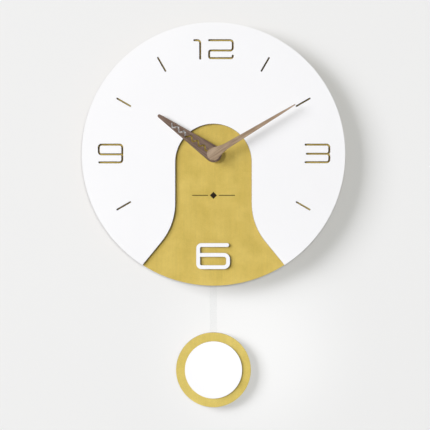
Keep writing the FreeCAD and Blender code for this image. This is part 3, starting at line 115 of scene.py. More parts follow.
class Finish:
    """A surface finish: one node material built around a Principled shader."""

    def __init__(self, name, **constants):
        self.material = bpy.data.materials.new(name)
        self.material.use_nodes = True
        self.tree = self.material.node_tree
        self.tree.nodes.clear()
        self.output = self.tree.nodes.new("ShaderNodeOutputMaterial")
        self.shader = self.tree.nodes.new("ShaderNodeBsdfPrincipled")
        self.tree.links.new(self.shader.outputs[0], self.output.inputs["Surface"])
        for socket, value in constants.items():
            self.shader.inputs[socket.replace("_", " ")].default_value = value

    def add(self, kind, settings=None, sockets=None, output=0):
        """Any node: its settings are made first, then its sockets are filled or linked."""
        node = self.tree.nodes.new(kind)
        for name, value in (settings or {}).items():
            if name == "stops":
                ramp = node.color_ramp
                while len(ramp.elements) < len(value):
                    ramp.elements.new(1.0)
                for stop, (place, colour) in zip(ramp.elements, value):
                    stop.position = place
                    stop.color = (*colour, 1.0)
            else:
                setattr(node, name, value)
        for name, value in (sockets or {}).items():
            self.fill(node.inputs[name], value)
        return Value(self, node.outputs[output])

    def fill(self, socket, value):
        if isinstance(value, Value):
            self.tree.links.new(value.socket, socket)
        elif hasattr(socket.default_value, "__len__") and len(socket.default_value) == 4:
            socket.default_value = (*value, 1.0)
        else:
            socket.default_value = value

    def set(self, **sockets):
        """Links what varies over the surface to the shader."""
        for name, value in sockets.items():
            self.fill(self.shader.inputs[name.replace("_", " ")], value)
        return self

    def place(self, location=(0, 0, 0), turn=(0, 0, 0), stretch=(1, 1, 1)):
        """Object coordinates in metres, moved, then turned, then stretched."""
        point = self.add("ShaderNodeTexCoord", {}, {}, "Object")
        back = [-part for part in location]
        point = self.add("ShaderNodeMapping", {}, {"Vector": point, "Location": back})
        point = self.add("ShaderNodeMapping", {}, {"Vector": point, "Rotation": turn})
        return self.add("ShaderNodeMapping", {}, {"Vector": point, "Scale": stretch})

    def split(self, vector):
        node = self.tree.nodes.new("ShaderNodeSeparateXYZ")
        self.tree.links.new(vector.socket, node.inputs[0])
        return [Value(self, node.outputs[i]) for i in range(3)]

    def facing(self):
        """The three parts of the surface normal in the piece's own frame."""
        return self.split(self.add("ShaderNodeTexCoord", {}, {}, "Normal"))

    def noise(self, vector, scale, detail=3.0, roughness=0.55, distortion=0.0):
        return self.add("ShaderNodeTexNoise", {},
                        {"Vector": vector, "Scale": scale, "Detail": detail,
                         "Roughness": roughness, "Distortion": distortion})

    def spread(self, value, low, high, new_low=0.0, new_high=1.0):
        """The value carried from one range to another and held inside it."""
        return self.add("ShaderNodeMapRange", {"clamp": True},
                        {"Value": value, "From Min": low, "From Max": high,
                         "To Min": new_low, "To Max": new_high})

    def blend(self, share, first, second):
        """The first colour where the share is 0 and the second where it is 1."""
        return self.add("ShaderNodeMix", {"data_type": "RGBA"},
                        {0: share, 6: first, 7: second}, 2)

    def tone(self, colour, amount):
        """A colour made lighter or darker by a value near 1."""
        grey = self.add("ShaderNodeCombineXYZ", {}, {0: amount, 1: amount, 2: amount})
        return self.add("ShaderNodeMix", {"data_type": "RGBA", "blend_type": "MULTIPLY"},
                        {0: 1.0, 6: colour, 7: grey}, 2)

    def rim(self, width):
        """1 beside a cut edge, falling to 0 at the given width in millimetres from it."""
        eased = self.add("ShaderNodeBevel", {"samples": 6}, {"Radius": width * MM})
        flat_way = self.add("ShaderNodeNewGeometry", {}, {}, "Normal")
        agree = self.add("ShaderNodeVectorMath", {"operation": "DOT_PRODUCT"},
                         {0: eased, 1: flat_way}, 1)
        return self.spread(agree, 0.998, 0.93)

    def relief(self, height, depth, strength=1.0):
        """A bump whose full height is the depth given in millimetres."""
        return self.add("ShaderNodeBump", {},
                        {"Height": height, "Distance": depth * MM, "Strength": strength})

    def see_through(self, share):
        """Plain transparency: none of it where the share is 0, all where it is 1."""
        clear = self.tree.nodes.new("ShaderNodeBsdfTransparent")
        mix = self.tree.nodes.new("ShaderNodeMixShader")
        self.fill(mix.inputs[0], share)
        self.tree.links.new(self.shader.outputs[0], mix.inputs[1])
        self.tree.links.new(clear.outputs[0], mix.inputs[2])
        self.tree.links.new(mix.outputs[0], self.output.inputs["Surface"])
        return self


# ------------------------------------------------------------------ boards
BURNT = (0.060, 0.032, 0.014)    # colours of a laser cut, from its walls to bare board
BURNT_LIGHT = (0.17, 0.095, 0.040)
# scorch brown, also painted as shade beside the cuts and on the floors of the tick slots
SCORCH_AND_PAINTED_SHADE = (0.088, 0.044, 0.012)
CHARRED = (0.022, 0.013, 0.007)
RAW_BOARD = (0.300, 0.205, 0.125)
SCORCH_AND_EDGE_SHADE_WIDTH = 0.75             # mm of coat beside a cut, browned by laser scorch and painted shade
# painted shade goes on the gold floors of the tick slots, inside these limits:
TICKS_FROM = 100.0 * MM          # the ticks lie farther out from the hands than this,
NUMERAL_HALF = 30.0 * MM         # beside and above the strips that hold the numerals,
TICKS_LOWEST = -80.0 * MM        # and no lower than this


def radius_of(across, up):
    """Distance from a centre, from the distances across it and up from it."""
    return (across * across + up * up).root()


def rate(pitch):
    """Radians per metre of a sine that repeats every pitch millimetres."""
    return 2 * math.pi / (pitch * MM)


def cut_board(finish, front_colour, front_rough, engraved_from=None, edge_scorch_and_shade=0.5,
              reach=148.0 * MM):
    """Laser-cut board: the coat on the front, browned for a hair's breadth
    beside a cut (laser scorch, and painted shade along the cut edges),
    brown walls with fine upright marks from the cut, and bare board fibres
    behind. Nothing is browned past the reach from the hands, which keeps the
    painted edge shade off the outer rim. A board with engraving gives the
    depth it starts at: it is charred behind that, and under the ticks cut in
    the board in front of it, where the floors of the tick slots lie, it has
    painted shade in a smoke brown."""
    along = finish.place()
    across, depth, up = finish.split(along)
    above_hands = up - HUB_Z
    from_hands = radius_of(across, above_hands)
    toward_back = finish.facing()[1]
    front = toward_back < -SQUARE_ON
    back = toward_back > SQUARE_ON
    marks = finish.noise(finish.place(stretch=(1.0, 0.08, 1.0)), 2600.0, 2.0, 0.7)
    soot_and_shade_noise = finish.noise(along, 160.0, 3.0)
    wall = finish.blend(finish.spread(marks + soot_and_shade_noise, 0.75, 1.25), BURNT, BURNT_LIGHT)
    fibres = finish.noise(finish.place(stretch=(1.0, 1.0, 0.7)), 760.0, 7.0, 0.8, 0.8)
    felt = finish.noise(along, 60.0, 5.0, 0.6)
    flecks = finish.noise(finish.place(stretch=(0.5, 1.0, 1.0)), 1300.0, 2.0)
    flecks = finish.spread(flecks, 0.63, 0.72)
    fibre_shade = finish.spread(fibres, 0.3, 0.7, 0.66, 1.26) + (felt - 0.5) * 0.3 - flecks * 0.35
    cut = finish.blend(back, wall, finish.tone(RAW_BOARD, fibre_shade))
    if engraved_from is not None:
        # painted shade: the gold front under the tick slots is darkened to a smoke brown, standing
        # in for the shade on the slots' floors
        by_ticks = (from_hands > TICKS_FROM) * (abs(across) > NUMERAL_HALF)
        by_ticks = by_ticks * (abs(above_hands) > NUMERAL_HALF) * (above_hands > TICKS_LOWEST)
        painted_tick_slot_shade = by_ticks * finish.spread(soot_and_shade_noise, 0.35, 0.65, 0.15, 0.45)
        front_colour = finish.blend(painted_tick_slot_shade, front_colour, SCORCH_AND_PAINTED_SHADE)
        engraved = (depth > engraved_from).lower(front)
        front_colour = finish.blend(engraved, front_colour, CHARRED)
    # the coat beside each cut is browned: laser scorch, and painted shade along the cut edges; the
    # reach keeps it off the outer rim
    scorch_and_painted_edge_shade = finish.rim(SCORCH_AND_EDGE_SHADE_WIDTH) * (from_hands < reach) * (0.55 + soot_and_shade_noise * 0.9) * edge_scorch_and_shade
    front_colour = finish.blend(scorch_and_painted_edge_shade.held(), front_colour, SCORCH_AND_PAINTED_SHADE)
    colour = finish.blend(front, cut, front_colour)
    rough = front * front_rough + (1 - front) * 0.82
    fine = finish.noise(along, 1500.0, 4.0, 0.6)
    height = front * fine * 0.12 + (1 - front) * (marks + fibres)
    return finish.set(Base_Color=colour, Roughness=rough, Normal=finish.relief(height, 0.06))


def gold_paint(name, warm, green, engraved_from=None):
    """Matt gold coat drawn downwards: long pale and dark streaks over a soft
    mottle between a warm and a greener gold."""
    finish = Finish(name, Metallic=0.28, Specular_IOR_Level=0.45)
    streaks = finish.noise(finish.place(stretch=(1.0, 1.0, 0.035)), 620.0, 5.0, 0.65)
    bands = finish.noise(finish.place(stretch=(1.0, 1.0, 0.12)), 70.0, 3.0)
    mottle = finish.noise(finish.place(), 46.0, 5.0, 0.6)
    grains = finish.noise(finish.place(), 2400.0, 2.0)
    shade = 1.0 + (streaks - 0.5) * 0.16 + (bands - 0.5) * 0.05
    shade = shade + (mottle - 0.5) * 0.42 + (grains - 0.5) * 0.55
    colour = finish.tone(finish.blend(finish.spread(mottle, 0.35, 0.7), warm, green), shade)
    rough = finish.spread(streaks + mottle, 0.7, 1.3, 0.40, 0.52)
    return cut_board(finish, colour, rough, engraved_from, 0.25)


def white_lacquer(name, edge_scorch_and_shade):
    """Satin white lacquer with the faintest orange peel and clouding."""
    finish = Finish(name, Specular_IOR_Level=0.5)
    cloud = finish.noise(finish.place(), 14.0, 3.0)
    specks = finish.noise(finish.place(), 1700.0, 3.0)
    shade = 1.0 + (cloud - 0.5) * 0.02 + (specks - 0.5) * 0.02
    colour = finish.tone((0.940, 0.940, 0.936), shade)
    return cut_board(finish, colour, finish.spread(cloud, 0.3, 0.7, 0.40, 0.48), None, edge_scorch_and_shade)


def veneer(name, clockwise, dark, mid, pale):
    """Walnut veneer whose figure runs along the hand: drawn-out growth bands,
    short dark pores and sooty cut edges."""
    finish = Finish(name, Specular_IOR_Level=0.4)
    hub = (0.0, 0.0, HUB_Z)
    turn = (0.0, -math.radians(clockwise), 0.0)
    grain = finish.noise(finish.place(hub, turn, (1.0, 1.0, 0.055)), 520.0, 5.0, 0.62, 0.6)
    bands = finish.noise(finish.place(hub, turn, (1.0, 1.0, 0.09)), 150.0, 3.0, 0.5, 1.2)
    pores = finish.noise(finish.place(hub, turn, (1.0, 1.0, 0.03)), 1900.0, 2.0, 0.5)
    open_pores = finish.spread(pores, 0.57, 0.66)
    figure = finish.add("ShaderNodeValToRGB", {"stops": [(0.30, dark), (0.5, mid), (0.70, pale)]},
                        {0: grain * 0.55 + bands * 0.45})
    colour = finish.blend(open_pores * 0.6, figure, [0.45 * v for v in dark])
    colour = finish.blend(finish.rim(0.45) * 0.6, colour, [0.4 * v for v in dark])
    front = finish.facing()[1] < -SQUARE_ON
    soot = finish.noise(finish.place(), 300.0, 3.0)
    wall = finish.blend(finish.spread(soot, 0.35, 0.65), BURNT, [0.9 * v for v in BURNT_LIGHT])
    colour = finish.blend(front, wall, colour)
    rough = finish.spread(grain, 0.3, 0.7, 0.42, 0.58)
    height = grain * 0.35 - open_pores * 0.65
    return finish.set(Base_Color=colour, Roughness=rough, Normal=finish.relief(height, 0.05))


# ------------------------------------------------------------------ metals
def turned_metal(name, colour, rough, centre=(0.0, 0.0), pitch=0.16, dull=0.10):
    """Metal turned on a lathe: fine rings about the hand axis, and dull patches
    where fingers have touched it."""
    finish = Finish(name, Metallic=1.0)
    x, y, z = finish.split(finish.place((centre[0], 0.0, centre[1])))
    rings = (radius_of(x, z) * rate(pitch) + y * rate(pitch)).sine()
    patch = finish.noise(finish.place(), 210.0, 4.0)
    fine = finish.noise(finish.place(), 3000.0, 3.0)
    shade = 1.0 + rings * 0.05 + (patch - 0.5) * 0.25
    return finish.set(Base_Color=finish.tone(colour, shade),
                      Roughness=finish.spread(patch + fine * 0.5, 0.5, 1.0, rough, rough + dull),
                      Normal=finish.relief(rings * 0.4 + fine * 0.6, 0.010))


def sheet_metal(name, colour, rough, stretch=(1.0, 1.0, 0.06), stain=0.16):
    """Rolled sheet: hair lines along the strip under a cloudy plating."""
    finish = Finish(name, Metallic=1.0)
    lines = finish.noise(finish.place(stretch=stretch), 1800.0, 4.0, 0.6)
    cloud = finish.noise(finish.place(), 120.0, 5.0, 0.65)
    pits = finish.spread(finish.noise(finish.place(), 1400.0, 2.0), 0.62, 0.72)
    shade = 1.0 + (lines - 0.5) * 0.16 + (cloud - 0.5) * stain * 2 - pits * 0.12
    return finish.set(Base_Color=finish.tone(colour, shade),
                      Roughness=finish.spread(lines * 0.4 + cloud, 0.4, 1.0, rough, rough + 0.16),
                      Normal=finish.relief(lines - pits, 0.012))


def wire_finish(name, colour, rough):
    """Enamelled wire: clear lacquer over drawn metal, each turn a little
    lighter or darker than the next."""
    finish = Finish(name, Metallic=0.85, Coat_Roughness=0.12)
    turns = finish.noise(finish.place(stretch=(1.0, 1.0, 6.0)), 500.0, 2.0)
    haze = finish.noise(finish.place(), 260.0, 3.0)
    shade = 1.0 + (turns - 0.5) * 0.5 + (haze - 0.5) * 0.2
    return finish.set(Base_Color=finish.tone(colour, shade),
                      Roughness=finish.spread(haze, 0.3, 0.7, rough, rough + 0.15),
                      Coat_Weight=finish.spread(haze, 0.3, 0.7, 0.6, 0.9),
                      Normal=finish.relief(turns, 0.01))


# ------------------------------------------------------------------ plastics
def moulded(name, colour, rough, texture=0.02, grain=2600.0, dust=0.0, gloss=0.5):
    """Moulded plastic: a spark-eroded grain, slow flow shading and, where it is
    open to the room, a little dust on what faces up."""
    finish = Finish(name, Specular_IOR_Level=gloss)
    grit = finish.noise(finish.place(), grain, 3.0, 0.6)
    flow = finish.noise(finish.place(stretch=(1.0, 1.0, 0.5)), 34.0, 4.0, 0.55, 0.8)
    wear = finish.noise(finish.place(), 300.0, 5.0, 0.7)
    shade = 1.0 + (flow - 0.5) * 0.22 + (grit - 0.5) * 0.24 + (wear - 0.5) * 0.12
    tinted = finish.tone(colour, shade)
    upward = finish.spread(finish.facing()[2], 0.3, 1.0)
    settled = upward * finish.spread(wear, 0.35, 0.65) * dust
    worn = grit * 0.6 + wear * 0.4
    return finish.set(Base_Color=finish.blend(settled, tinted, (0.34, 0.33, 0.31)),
                      Roughness=finish.spread(worn, 0.3, 0.7, rough - 0.07, rough + 0.09),
                      Normal=finish.relief(grit, texture))


def ground_ceramic(name, colour):
    """Pressed ferrite: dark open grain with grinding lines."""
    finish = Finish(name, Specular_IOR_Level=0.6)
    crystals = finish.add("ShaderNodeTexVoronoi", {"feature": "F1"},
                          {"Vector": finish.place(), "Scale": 2200.0}, "Distance")
    lines = finish.noise(finish.place(stretch=(0.05, 1.0, 1.0)), 2600.0, 3.0)
    shade = 0.75 + crystals * 0.6 + (lines - 0.5) * 0.4
    return finish.set(Base_Color=finish.tone(colour, shade),
                      Roughness=finish.spread(lines, 0.3, 0.7, 0.34, 0.5),
                      Normal=finish.relief(crystals + lines, 0.015))


def card_finish(name):
    """Circuit card: green mask over copper tracks on a square grid, tinned
    pads, and bare glass cloth at the edges."""
    finish = Finish(name, Specular_IOR_Level=0.5)
    x, y, z = finish.split(finish.place())
    pitch = 2.54 * MM
    track_half = 0.20 * MM
    pad_radius = 0.42 * MM
    cloth_pitch = 0.5
    weave = (x * rate(cloth_pitch)).sine() * (z * rate(cloth_pitch)).sine()
    column, row = [abs(finish.add("ShaderNodeMath", {"operation": "PINGPONG"},
                                  {0: way, 1: pitch / 2}) - pitch / 4) for way in (x, z)]
    turned = finish.spread(finish.noise(finish.place(), 260.0, 0.0), 0.49, 0.51)
    track = (turned * (column < track_half)).higher((1 - turned) * (row < track_half))
    pad = radius_of(column, row) < pad_radius
    mask_tone = finish.noise(finish.place(), 90.0, 3.0)
    green = finish.tone((0.030, 0.135, 0.050), 0.85 + mask_tone * 0.3 + weave * 0.04)
    colour = finish.blend(track, green, (0.070, 0.215, 0.065))
    colour = finish.blend(pad, colour, (0.62, 0.60, 0.55))
    edge = abs(finish.facing()[1]) < SQUARE_ON
    cloth = finish.tone((0.42, 0.40, 0.24), 0.9 + finish.noise(finish.place(), 1500.0, 3.0) * 0.2)
    colour = finish.blend(edge, colour, cloth)
    return finish.set(Base_Color=colour, Metallic=pad * (1 - edge) * 0.9,
                      Roughness=finish.spread(mask_tone, 0.3, 0.7, 0.24, 0.36) + edge * 0.4,
                      Normal=finish.relief(track * 0.6 + pad + weave * 0.1, 0.03))


def sleeve_finish(name, middle, half, radius):
    """Cell: a printed film sleeve with one plain band, shrunk round a plated
    can whose ends stay bare."""
    finish = Finish(name)
    x, y, z = finish.split(finish.place(middle))
    ripple = finish.noise(finish.place(stretch=(0.12, 1.0, 1.0)), 700.0, 3.0)
    scuff = finish.noise(finish.place(), 240.0, 5.0, 0.7)
    end = abs(x) > half - 1.3 * MM
    bare = end.lower(radius_of(y, z) < radius - 0.55 * MM)
    band = (x > half * 0.52).lower(x < half * 0.94)
    line = (x > half * 0.47).lower(x < half * 0.495)
    film_shade = 0.85 + ripple * 0.3
    grey = finish.tone((0.055, 0.062, 0.075), film_shade)
    colour = finish.blend(band, grey, finish.tone((0.10, 0.30, 0.42), film_shade))
    colour = finish.blend(line, colour, (0.62, 0.62, 0.60))
    steel = finish.tone((0.66, 0.65, 0.62), 0.85 + scuff * 0.3)
    return finish.set(Base_Color=finish.blend(bare, colour, steel),
                      Metallic=bare * 0.65 + 0.35,
                      Roughness=finish.spread(scuff, 0.3, 0.7, 0.24, 0.38) + bare * 0.08,
                      Coat_Weight=(1 - bare) * 0.5, Normal=finish.relief(ripple, 0.03))


def clear_sheet(name):
    """Clear acrylic: flame-polished, with the faint waves and dust of a cut
    strip. It casts next to no shadow and bounced light passes through it."""
    finish = Finish(name, Transmission_Weight=1.0, IOR=1.49, Specular_IOR_Level=0.2)
    waves = finish.noise(finish.place(stretch=(1.0, 1.0, 0.15)), 160.0, 2.0)
    dust = finish.spread(finish.noise(finish.place(), 1900.0, 2.0), 0.66, 0.74)
    finish.set(Base_Color=finish.tone((0.992, 0.997, 0.995), 1.0 - dust * 0.05),
               Roughness=0.015 + dust * 0.25, Normal=finish.relief(waves, 0.02))
    shadow = finish.add("ShaderNodeLightPath", {}, {}, "Is Shadow Ray")
    bounced = finish.add("ShaderNodeLightPath", {}, {}, "Is Diffuse Ray")
    return finish.see_through(shadow.higher(bounced) * 0.99)


# ------------------------------------------------------------------ new pieces
def piece_from_grid(name, points, loop=False):
    """A closed skin from a grid of points: rows run along the piece, columns go
    round it and join up. The last row joins the first in a loop; otherwise each
    end is closed by one point at its row's middle."""
    rows, columns, _ = points.shape
    corner = np.arange(rows * columns).reshape(rows, columns)
    beside = np.roll(corner, -1, axis=1)
    above, above_beside = np.roll(corner, -1, axis=0), np.roll(beside, -1, axis=0)
    quads = np.stack([corner, beside, above_beside, above], axis=-1)
    quads = quads if loop else quads[:-1]
    verts = points.reshape(-1, 3)
    faces = quads.reshape(-1, 4).tolist()
    if not loop:
        first, last = len(verts), len(verts) + 1
        verts = np.concatenate([verts, points[:1].mean(axis=1), points[-1:].mean(axis=1)])
        start = np.stack([np.full(columns, first), beside[0], corner[0]], axis=-1)
        stop = np.stack([np.full(columns, last), corner[-1], beside[-1]], axis=-1)
        faces += start.tolist() + stop.tolist()
    mesh = bpy.data.meshes.new(name)
    mesh.from_pydata(verts.tolist(), [], faces)
    mesh.validate()
    piece = bpy.data.objects.new(name, mesh)
    bpy.context.scene.collection.objects.link(piece)
    return piece


def shade_round(piece, sharp_degrees=35.0):
    """Smooth shading with every edge over the given angle kept crisp."""
    mesh = piece.data
    mesh.polygons.foreach_set("use_smooth", np.ones(len(mesh.polygons), bool))
    mesh.set_sharp_from_angle(angle=math.radians(sharp_degrees))


def around(axis, centre, along, radius, columns):
    """A surface of revolution: a profile of (distance along the axis, radius)
    is carried round the axis, so each point is centre + along * axis +
    radius * (cos, sin) in the plane across it."""
    angle = np.linspace(0.0, 2 * math.pi, columns, endpoint=False)
    grid = np.zeros((len(along), columns, 3))
    first, second = {"x": (1, 2), "y": (2, 0), "z": (0, 1)}[axis]
    main = "xyz".index(axis)
    grid[:, :, main] = np.asarray(along)[:, None]
    grid[:, :, first] = np.outer(radius, np.cos(angle))
    grid[:, :, second] = np.outer(radius, np.sin(angle))
    return grid + np.asarray(centre)


def cell_profile(length, radius, nub, nub_radius):
    """Half section of the cell, in millimetres, from its flat end to its nub: a
    rolled sleeve lip, the straight sleeve, the lip again, the sunk shoulder and
    the nub. Each rounding is a quarter circle, corner + round * (sin, cos)."""
    lip = 0.45
    nub_round = 0.3
    centre_ring = 0.6
    rim = radius - 0.9
    base = -length / 2
    top = length / 2 - nub
    arc = np.linspace(0.0, math.pi / 2, 7)
    along = [base + 0.30, base + 0.30, base + 0.12, base]
    out = [centre_ring, rim - 0.6, rim - 0.15, rim + 0.1]
    along += list(base + lip * (1 - np.cos(arc)))
    out += list(radius - lip + lip * np.sin(arc))
    along += [base + 2.0, 0.0, top - 2.0]
    out += [radius, radius, radius]
    along += list(top - lip + lip * np.sin(arc))
    out += list(radius - lip + lip * np.cos(arc))
    along += [top, top - 0.25, top - 0.35, top - 0.35, top - 0.20]
    out += [rim + 0.1, rim, rim - 0.25, nub_radius + 0.9, nub_radius + 0.35]
    along += [top + 0.1]
    out += [nub_radius]
    along += list(top + nub - nub_round + nub_round * np.sin(arc))
    out += list(nub_radius - nub_round + nub_round * np.cos(arc))
    along += [length / 2]
    out += [centre_ring]
    return np.array(along), np.array(out)


def winding_profile(half, inner, outer, wire, per_turn=6):
    """Section of a tight winding: the outside is a row of half rounds, one for
    each turn of wire, so radius = outer - wire / 2 + wire / 2 * |sin| along the
    coil, and the flanks run straight down to the bobbin's tube."""
    turns = int(round(2 * half / wire))
    step = np.linspace(0.0, turns * math.pi, turns * per_turn + 1)
    along = np.linspace(-half, half, len(step))
    radius = outer - wire / 2 + wire / 2 * np.abs(np.sin(step))
    along = np.concatenate([[-half], along, [half]])
    return along, np.concatenate([[inner], radius, [inner]])


# ------------------------------------------------------------------ the clock's places
HUB_Z = sum(v.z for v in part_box("threaded_bush")) / 2
CELL_LOW, CELL_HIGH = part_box("battery")
CELL_MIDDLE = (CELL_LOW + CELL_HIGH) / 2
CELL_RADIUS = (CELL_HIGH.z - CELL_LOW.z) / 2
CELL_HALF = (CELL_HIGH.x - CELL_LOW.x) / 2
HUB = (0.0, HUB_Z)
ENGRAVED_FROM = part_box("base_disc")[0].y + 0.15 * MM
NUB, NUB_RADIUS = 1.0, 2.75      # of the cell, in millimetres
WIRE = 0.12                      # thickness of the copper wire, in millimetres

FACE_GOLD = gold_paint("dial gold", (0.755, 0.557, 0.124), (0.740, 0.560, 0.146), ENGRAVED_FROM)
# the bob's gold is the dial's gold made lighter: painted light for the brighter light round the
# pendulum
BOB_GOLD_PAINTED_LIGHTER = gold_paint("bob gold painted lighter", (0.775, 0.600, 0.144), (0.760, 0.603, 0.169))
FACE_WHITE = white_lacquer("face white", 1.0)
RAISED_WHITE = white_lacquer("raised white", 0.30)
MINUTE_VENEER = veneer("minute hand walnut", 58.9, (0.185, 0.118, 0.070),
                       (0.370, 0.265, 0.175), (0.55, 0.420, 0.300))
# the hour hand's walnut is the same wood as the minute hand's, painted darker: painted shade for
# the duller sheen of its grain at its angle
HOUR_VENEER_PAINTED_DARKER = veneer("hour hand walnut painted darker", 305.0, (0.085, 0.052, 0.036),
                     (0.185, 0.124, 0.091), (0.32, 0.232, 0.180))
BRASS = turned_metal("turned brass", (0.78, 0.58, 0.27), 0.24, HUB)
RUBBER = moulded("black rubber", (0.020, 0.020, 0.021), 0.82, 0.03, 1500.0)
CASE = moulded("black moulded case", (0.024, 0.024, 0.026), 0.52, 0.03, 2400.0, dust=0.35)
ARM = moulded("black moulded arm", (0.026, 0.026, 0.028), 0.46, 0.02, 2600.0)
KNOB = moulded("black knob", (0.040, 0.040, 0.042), 0.42, 0.015, 2800.0)
ACETAL = moulded("natural acetal wheels", (0.82, 0.81, 0.76), 0.36, 0.008, 3000.0)
PINION_ACETAL = moulded("natural acetal pinions", (0.72, 0.68, 0.56), 0.34, 0.008, 3000.0)
TRAIN_PLASTIC = moulded("ivory train plate", (0.74, 0.72, 0.64), 0.48, 0.015, 2600.0)
BOBBIN = moulded("bobbin nylon", (0.74, 0.71, 0.60), 0.40, 0.010, 2600.0)
RESIN = moulded("black chip resin", (0.012, 0.012, 0.013), 0.18, 0.020, 500.0, gloss=0.7)
ZINC = sheet_metal("zinc plated hanger", (0.66, 0.66, 0.67), 0.26)
BRIGHT_ZINC = sheet_metal("bright zinc screws", (0.74, 0.75, 0.77), 0.18, (1.0, 0.2, 1.0), 0.10)
IRON = sheet_metal("soft iron", (0.46, 0.45, 0.44), 0.38, (0.08, 1.0, 1.0), 0.22)
NICKEL = sheet_metal("nickel contacts", (0.68, 0.66, 0.61), 0.20, (1.0, 1.0, 0.1), 0.10)
CAN = sheet_metal("drawn crystal can", (0.74, 0.74, 0.75), 0.20, (0.08, 1.0, 1.0), 0.08)
FERRITE = ground_ceramic("ground ferrite", (0.060, 0.060, 0.066))
COPPER = wire_finish("enamelled copper", (0.64, 0.25, 0.095), 0.28)
CARD = card_finish("green circuit card")
SLEEVE = sleeve_finish("cell sleeve", tuple(CELL_MIDDLE), CELL_HALF, CELL_RADIUS)
ACRYLIC = clear_sheet("clear acrylic")

DRESS = {
    "base_disc": FACE_GOLD, "face_layer": FACE_WHITE, "nine_centre": FACE_WHITE,
    "numeral_six": RAISED_WHITE,
    "hour_hand": HOUR_VENEER_PAINTED_DARKER, "hour_collet": BRASS, "minute_hand": MINUTE_VENEER,
    "minute_collet": BRASS, "threaded_bush": BRASS, "rubber_washer": RUBBER, "brass_washer": BRASS,
    "hex_nut": BRASS, "front_case": CASE, "rear_cover": CASE, "train_plate": TRAIN_PLASTIC,
    "hanger": ZINC, "hanger_screws": BRIGHT_ZINC, "minute_arbor": PINION_ACETAL,
    "motion_wheel": ACETAL, "hour_wheel": ACETAL, "setting_knob": KNOB, "centre_wheel": ACETAL,
    "third_wheel": ACETAL, "seconds_wheel": ACETAL, "fifth_wheel": ACETAL,
    "rotor_pinion": PINION_ACETAL, "rotor_magnet": FERRITE, "stator": IRON, "coil_core": IRON,
    "coil_bobbin": BOBBIN, "coil_winding": COPPER, "clock_circuit": CARD, "clock_chip": RESIN,
    "quartz_crystal": CAN, "drive_circuit": CARD, "drive_chip": RESIN, "drive_bobbin": BOBBIN,
    "drive_winding": COPPER, "battery": SLEEVE, "positive_contact": NICKEL,
    "negative_contact": NICKEL, "pivot_pin": BRIGHT_ZINC, "pendulum_arm": ARM,
    "pendulum_magnet": FERRITE, "pendulum_rod": ACRYLIC, "bob_disc": BOB_GOLD_PAINTED_LIGHTER,
    "bob_centre": RAISED_WHITE,
}


def dress(piece, finish):
    """Puts a finish on a piece, in every material slot that it has."""
    if not piece.material_slots:
        piece.data.materials.append(finish.material)
    for held in piece.material_slots:
        held.material = finish.material


for node, finish in DRESS.items():
    dress(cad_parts[node], finish)


# ------------------------------------------------------------------ cell and windings
def settle(piece, finish, body, slot, *nodes):
    """Dresses a new piece, shades it, and puts it in place of its plain nodes."""
    dress(piece, finish)
    shade_round(piece)
    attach(piece, body)
    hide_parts(*nodes)


along, out = cell_profile(2 * CELL_HALF / MM, CELL_RADIUS / MM, NUB, NUB_RADIUS)
cell = piece_from_grid("dry_cell", around("x", CELL_MIDDLE, along * MM, out * MM, 72))
settle(cell, SLEEVE, "clock", "cell_jacket", "battery")


def wind(name, node, axis, tube_radius, columns):
    """A winding in the room its plain node keeps, round the tube of its bobbin,
    whose radius is in millimetres."""
    low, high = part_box(node)
    main = "xyz".index(axis)
    cross = (main + 1) % 3
    half, outer = (high[main] - low[main]) / 2, (high[cross] - low[cross]) / 2
    along, radius = winding_profile(half, tube_radius * MM, outer, WIRE * MM)
    piece = piece_from_grid(name, around(axis, (low + high) / 2, along, radius, columns), loop=True)
    settle(piece, COPPER, "clock", "copper_winding", node)


wind("motor_winding", "coil_winding", "z", tube_radius=2.4, columns=40)
wind("pendulum_winding", "drive_winding", "y", tube_radius=2.7, columns=72)


# ------------------------------------------------------------------ room and light
WALL_Y = cad_high.y + 1.0 * MM
WALL_REACH = 3.2
FLOOR_HALF_WIDTH, FLOOR_FRONT, FLOOR_BACK = 4.0, -5.0, 4.0
FLOOR_Z = cad_low.z - 1.15
ROOM_SEEN = 0.66                 # strength of the room where it is looked at
ROOM_LIGHT = 0.05                # and what it adds to every surface
HANDS = Vector((0.0, 0.0, HUB_Z))
RELIEF = ("base_disc", "face_layer", "nine_centre", "numeral_six", "hour_collet", "minute_collet",
          "hex_nut", "bob_disc", "bob_centre")


def flat(name, corners, finish):
    """A flat backdrop from four corners, listed so that it faces its first side."""
    mesh = bpy.data.meshes.new(name)
    mesh.from_pydata(corners, [], [(0, 1, 2, 3)])
    piece = bpy.data.objects.new(name, mesh)
    bpy.context.scene.collection.objects.link(piece)
    dress(piece, finish)
    return piece


def wall_paint():
    """Pale matt wall. From behind it lets the eye through, and it lets light
    from behind reach what the eye sees first."""
    finish = Finish("pale wall", Roughness=0.9, Specular_IOR_Level=0.2)
    roller = finish.noise(finish.place(), 700.0, 4.0)
    cloud = finish.noise(finish.place(), 1.6, 2.0)
    colour = finish.tone((0.850, 0.850, 0.850), 1.0 + (cloud - 0.5) * 0.02 + (roller - 0.5) * 0.01)
    finish.set(Base_Color=colour, Normal=finish.relief(roller, 0.05, 0.3))
    behind = finish.add("ShaderNodeNewGeometry", {}, {}, "Backfacing")
    shadow = finish.add("ShaderNodeLightPath", {}, {}, "Is Shadow Ray")
    seen_first = finish.add("ShaderNodeLightPath", {}, {}, "Diffuse Depth") < 0.5
    return finish.see_through(behind.higher(shadow.lower(seen_first)))


def floor_paint():
    """Pale matt floor with the faintest clouding."""
    finish = Finish("pale floor", Roughness=0.8, Specular_IOR_Level=0.2)
    cloud = finish.noise(finish.place(), 3.0, 3.0)
    return finish.set(Base_Color=finish.tone((0.80, 0.80, 0.80), 1.0 + (cloud - 0.5) * 0.03))


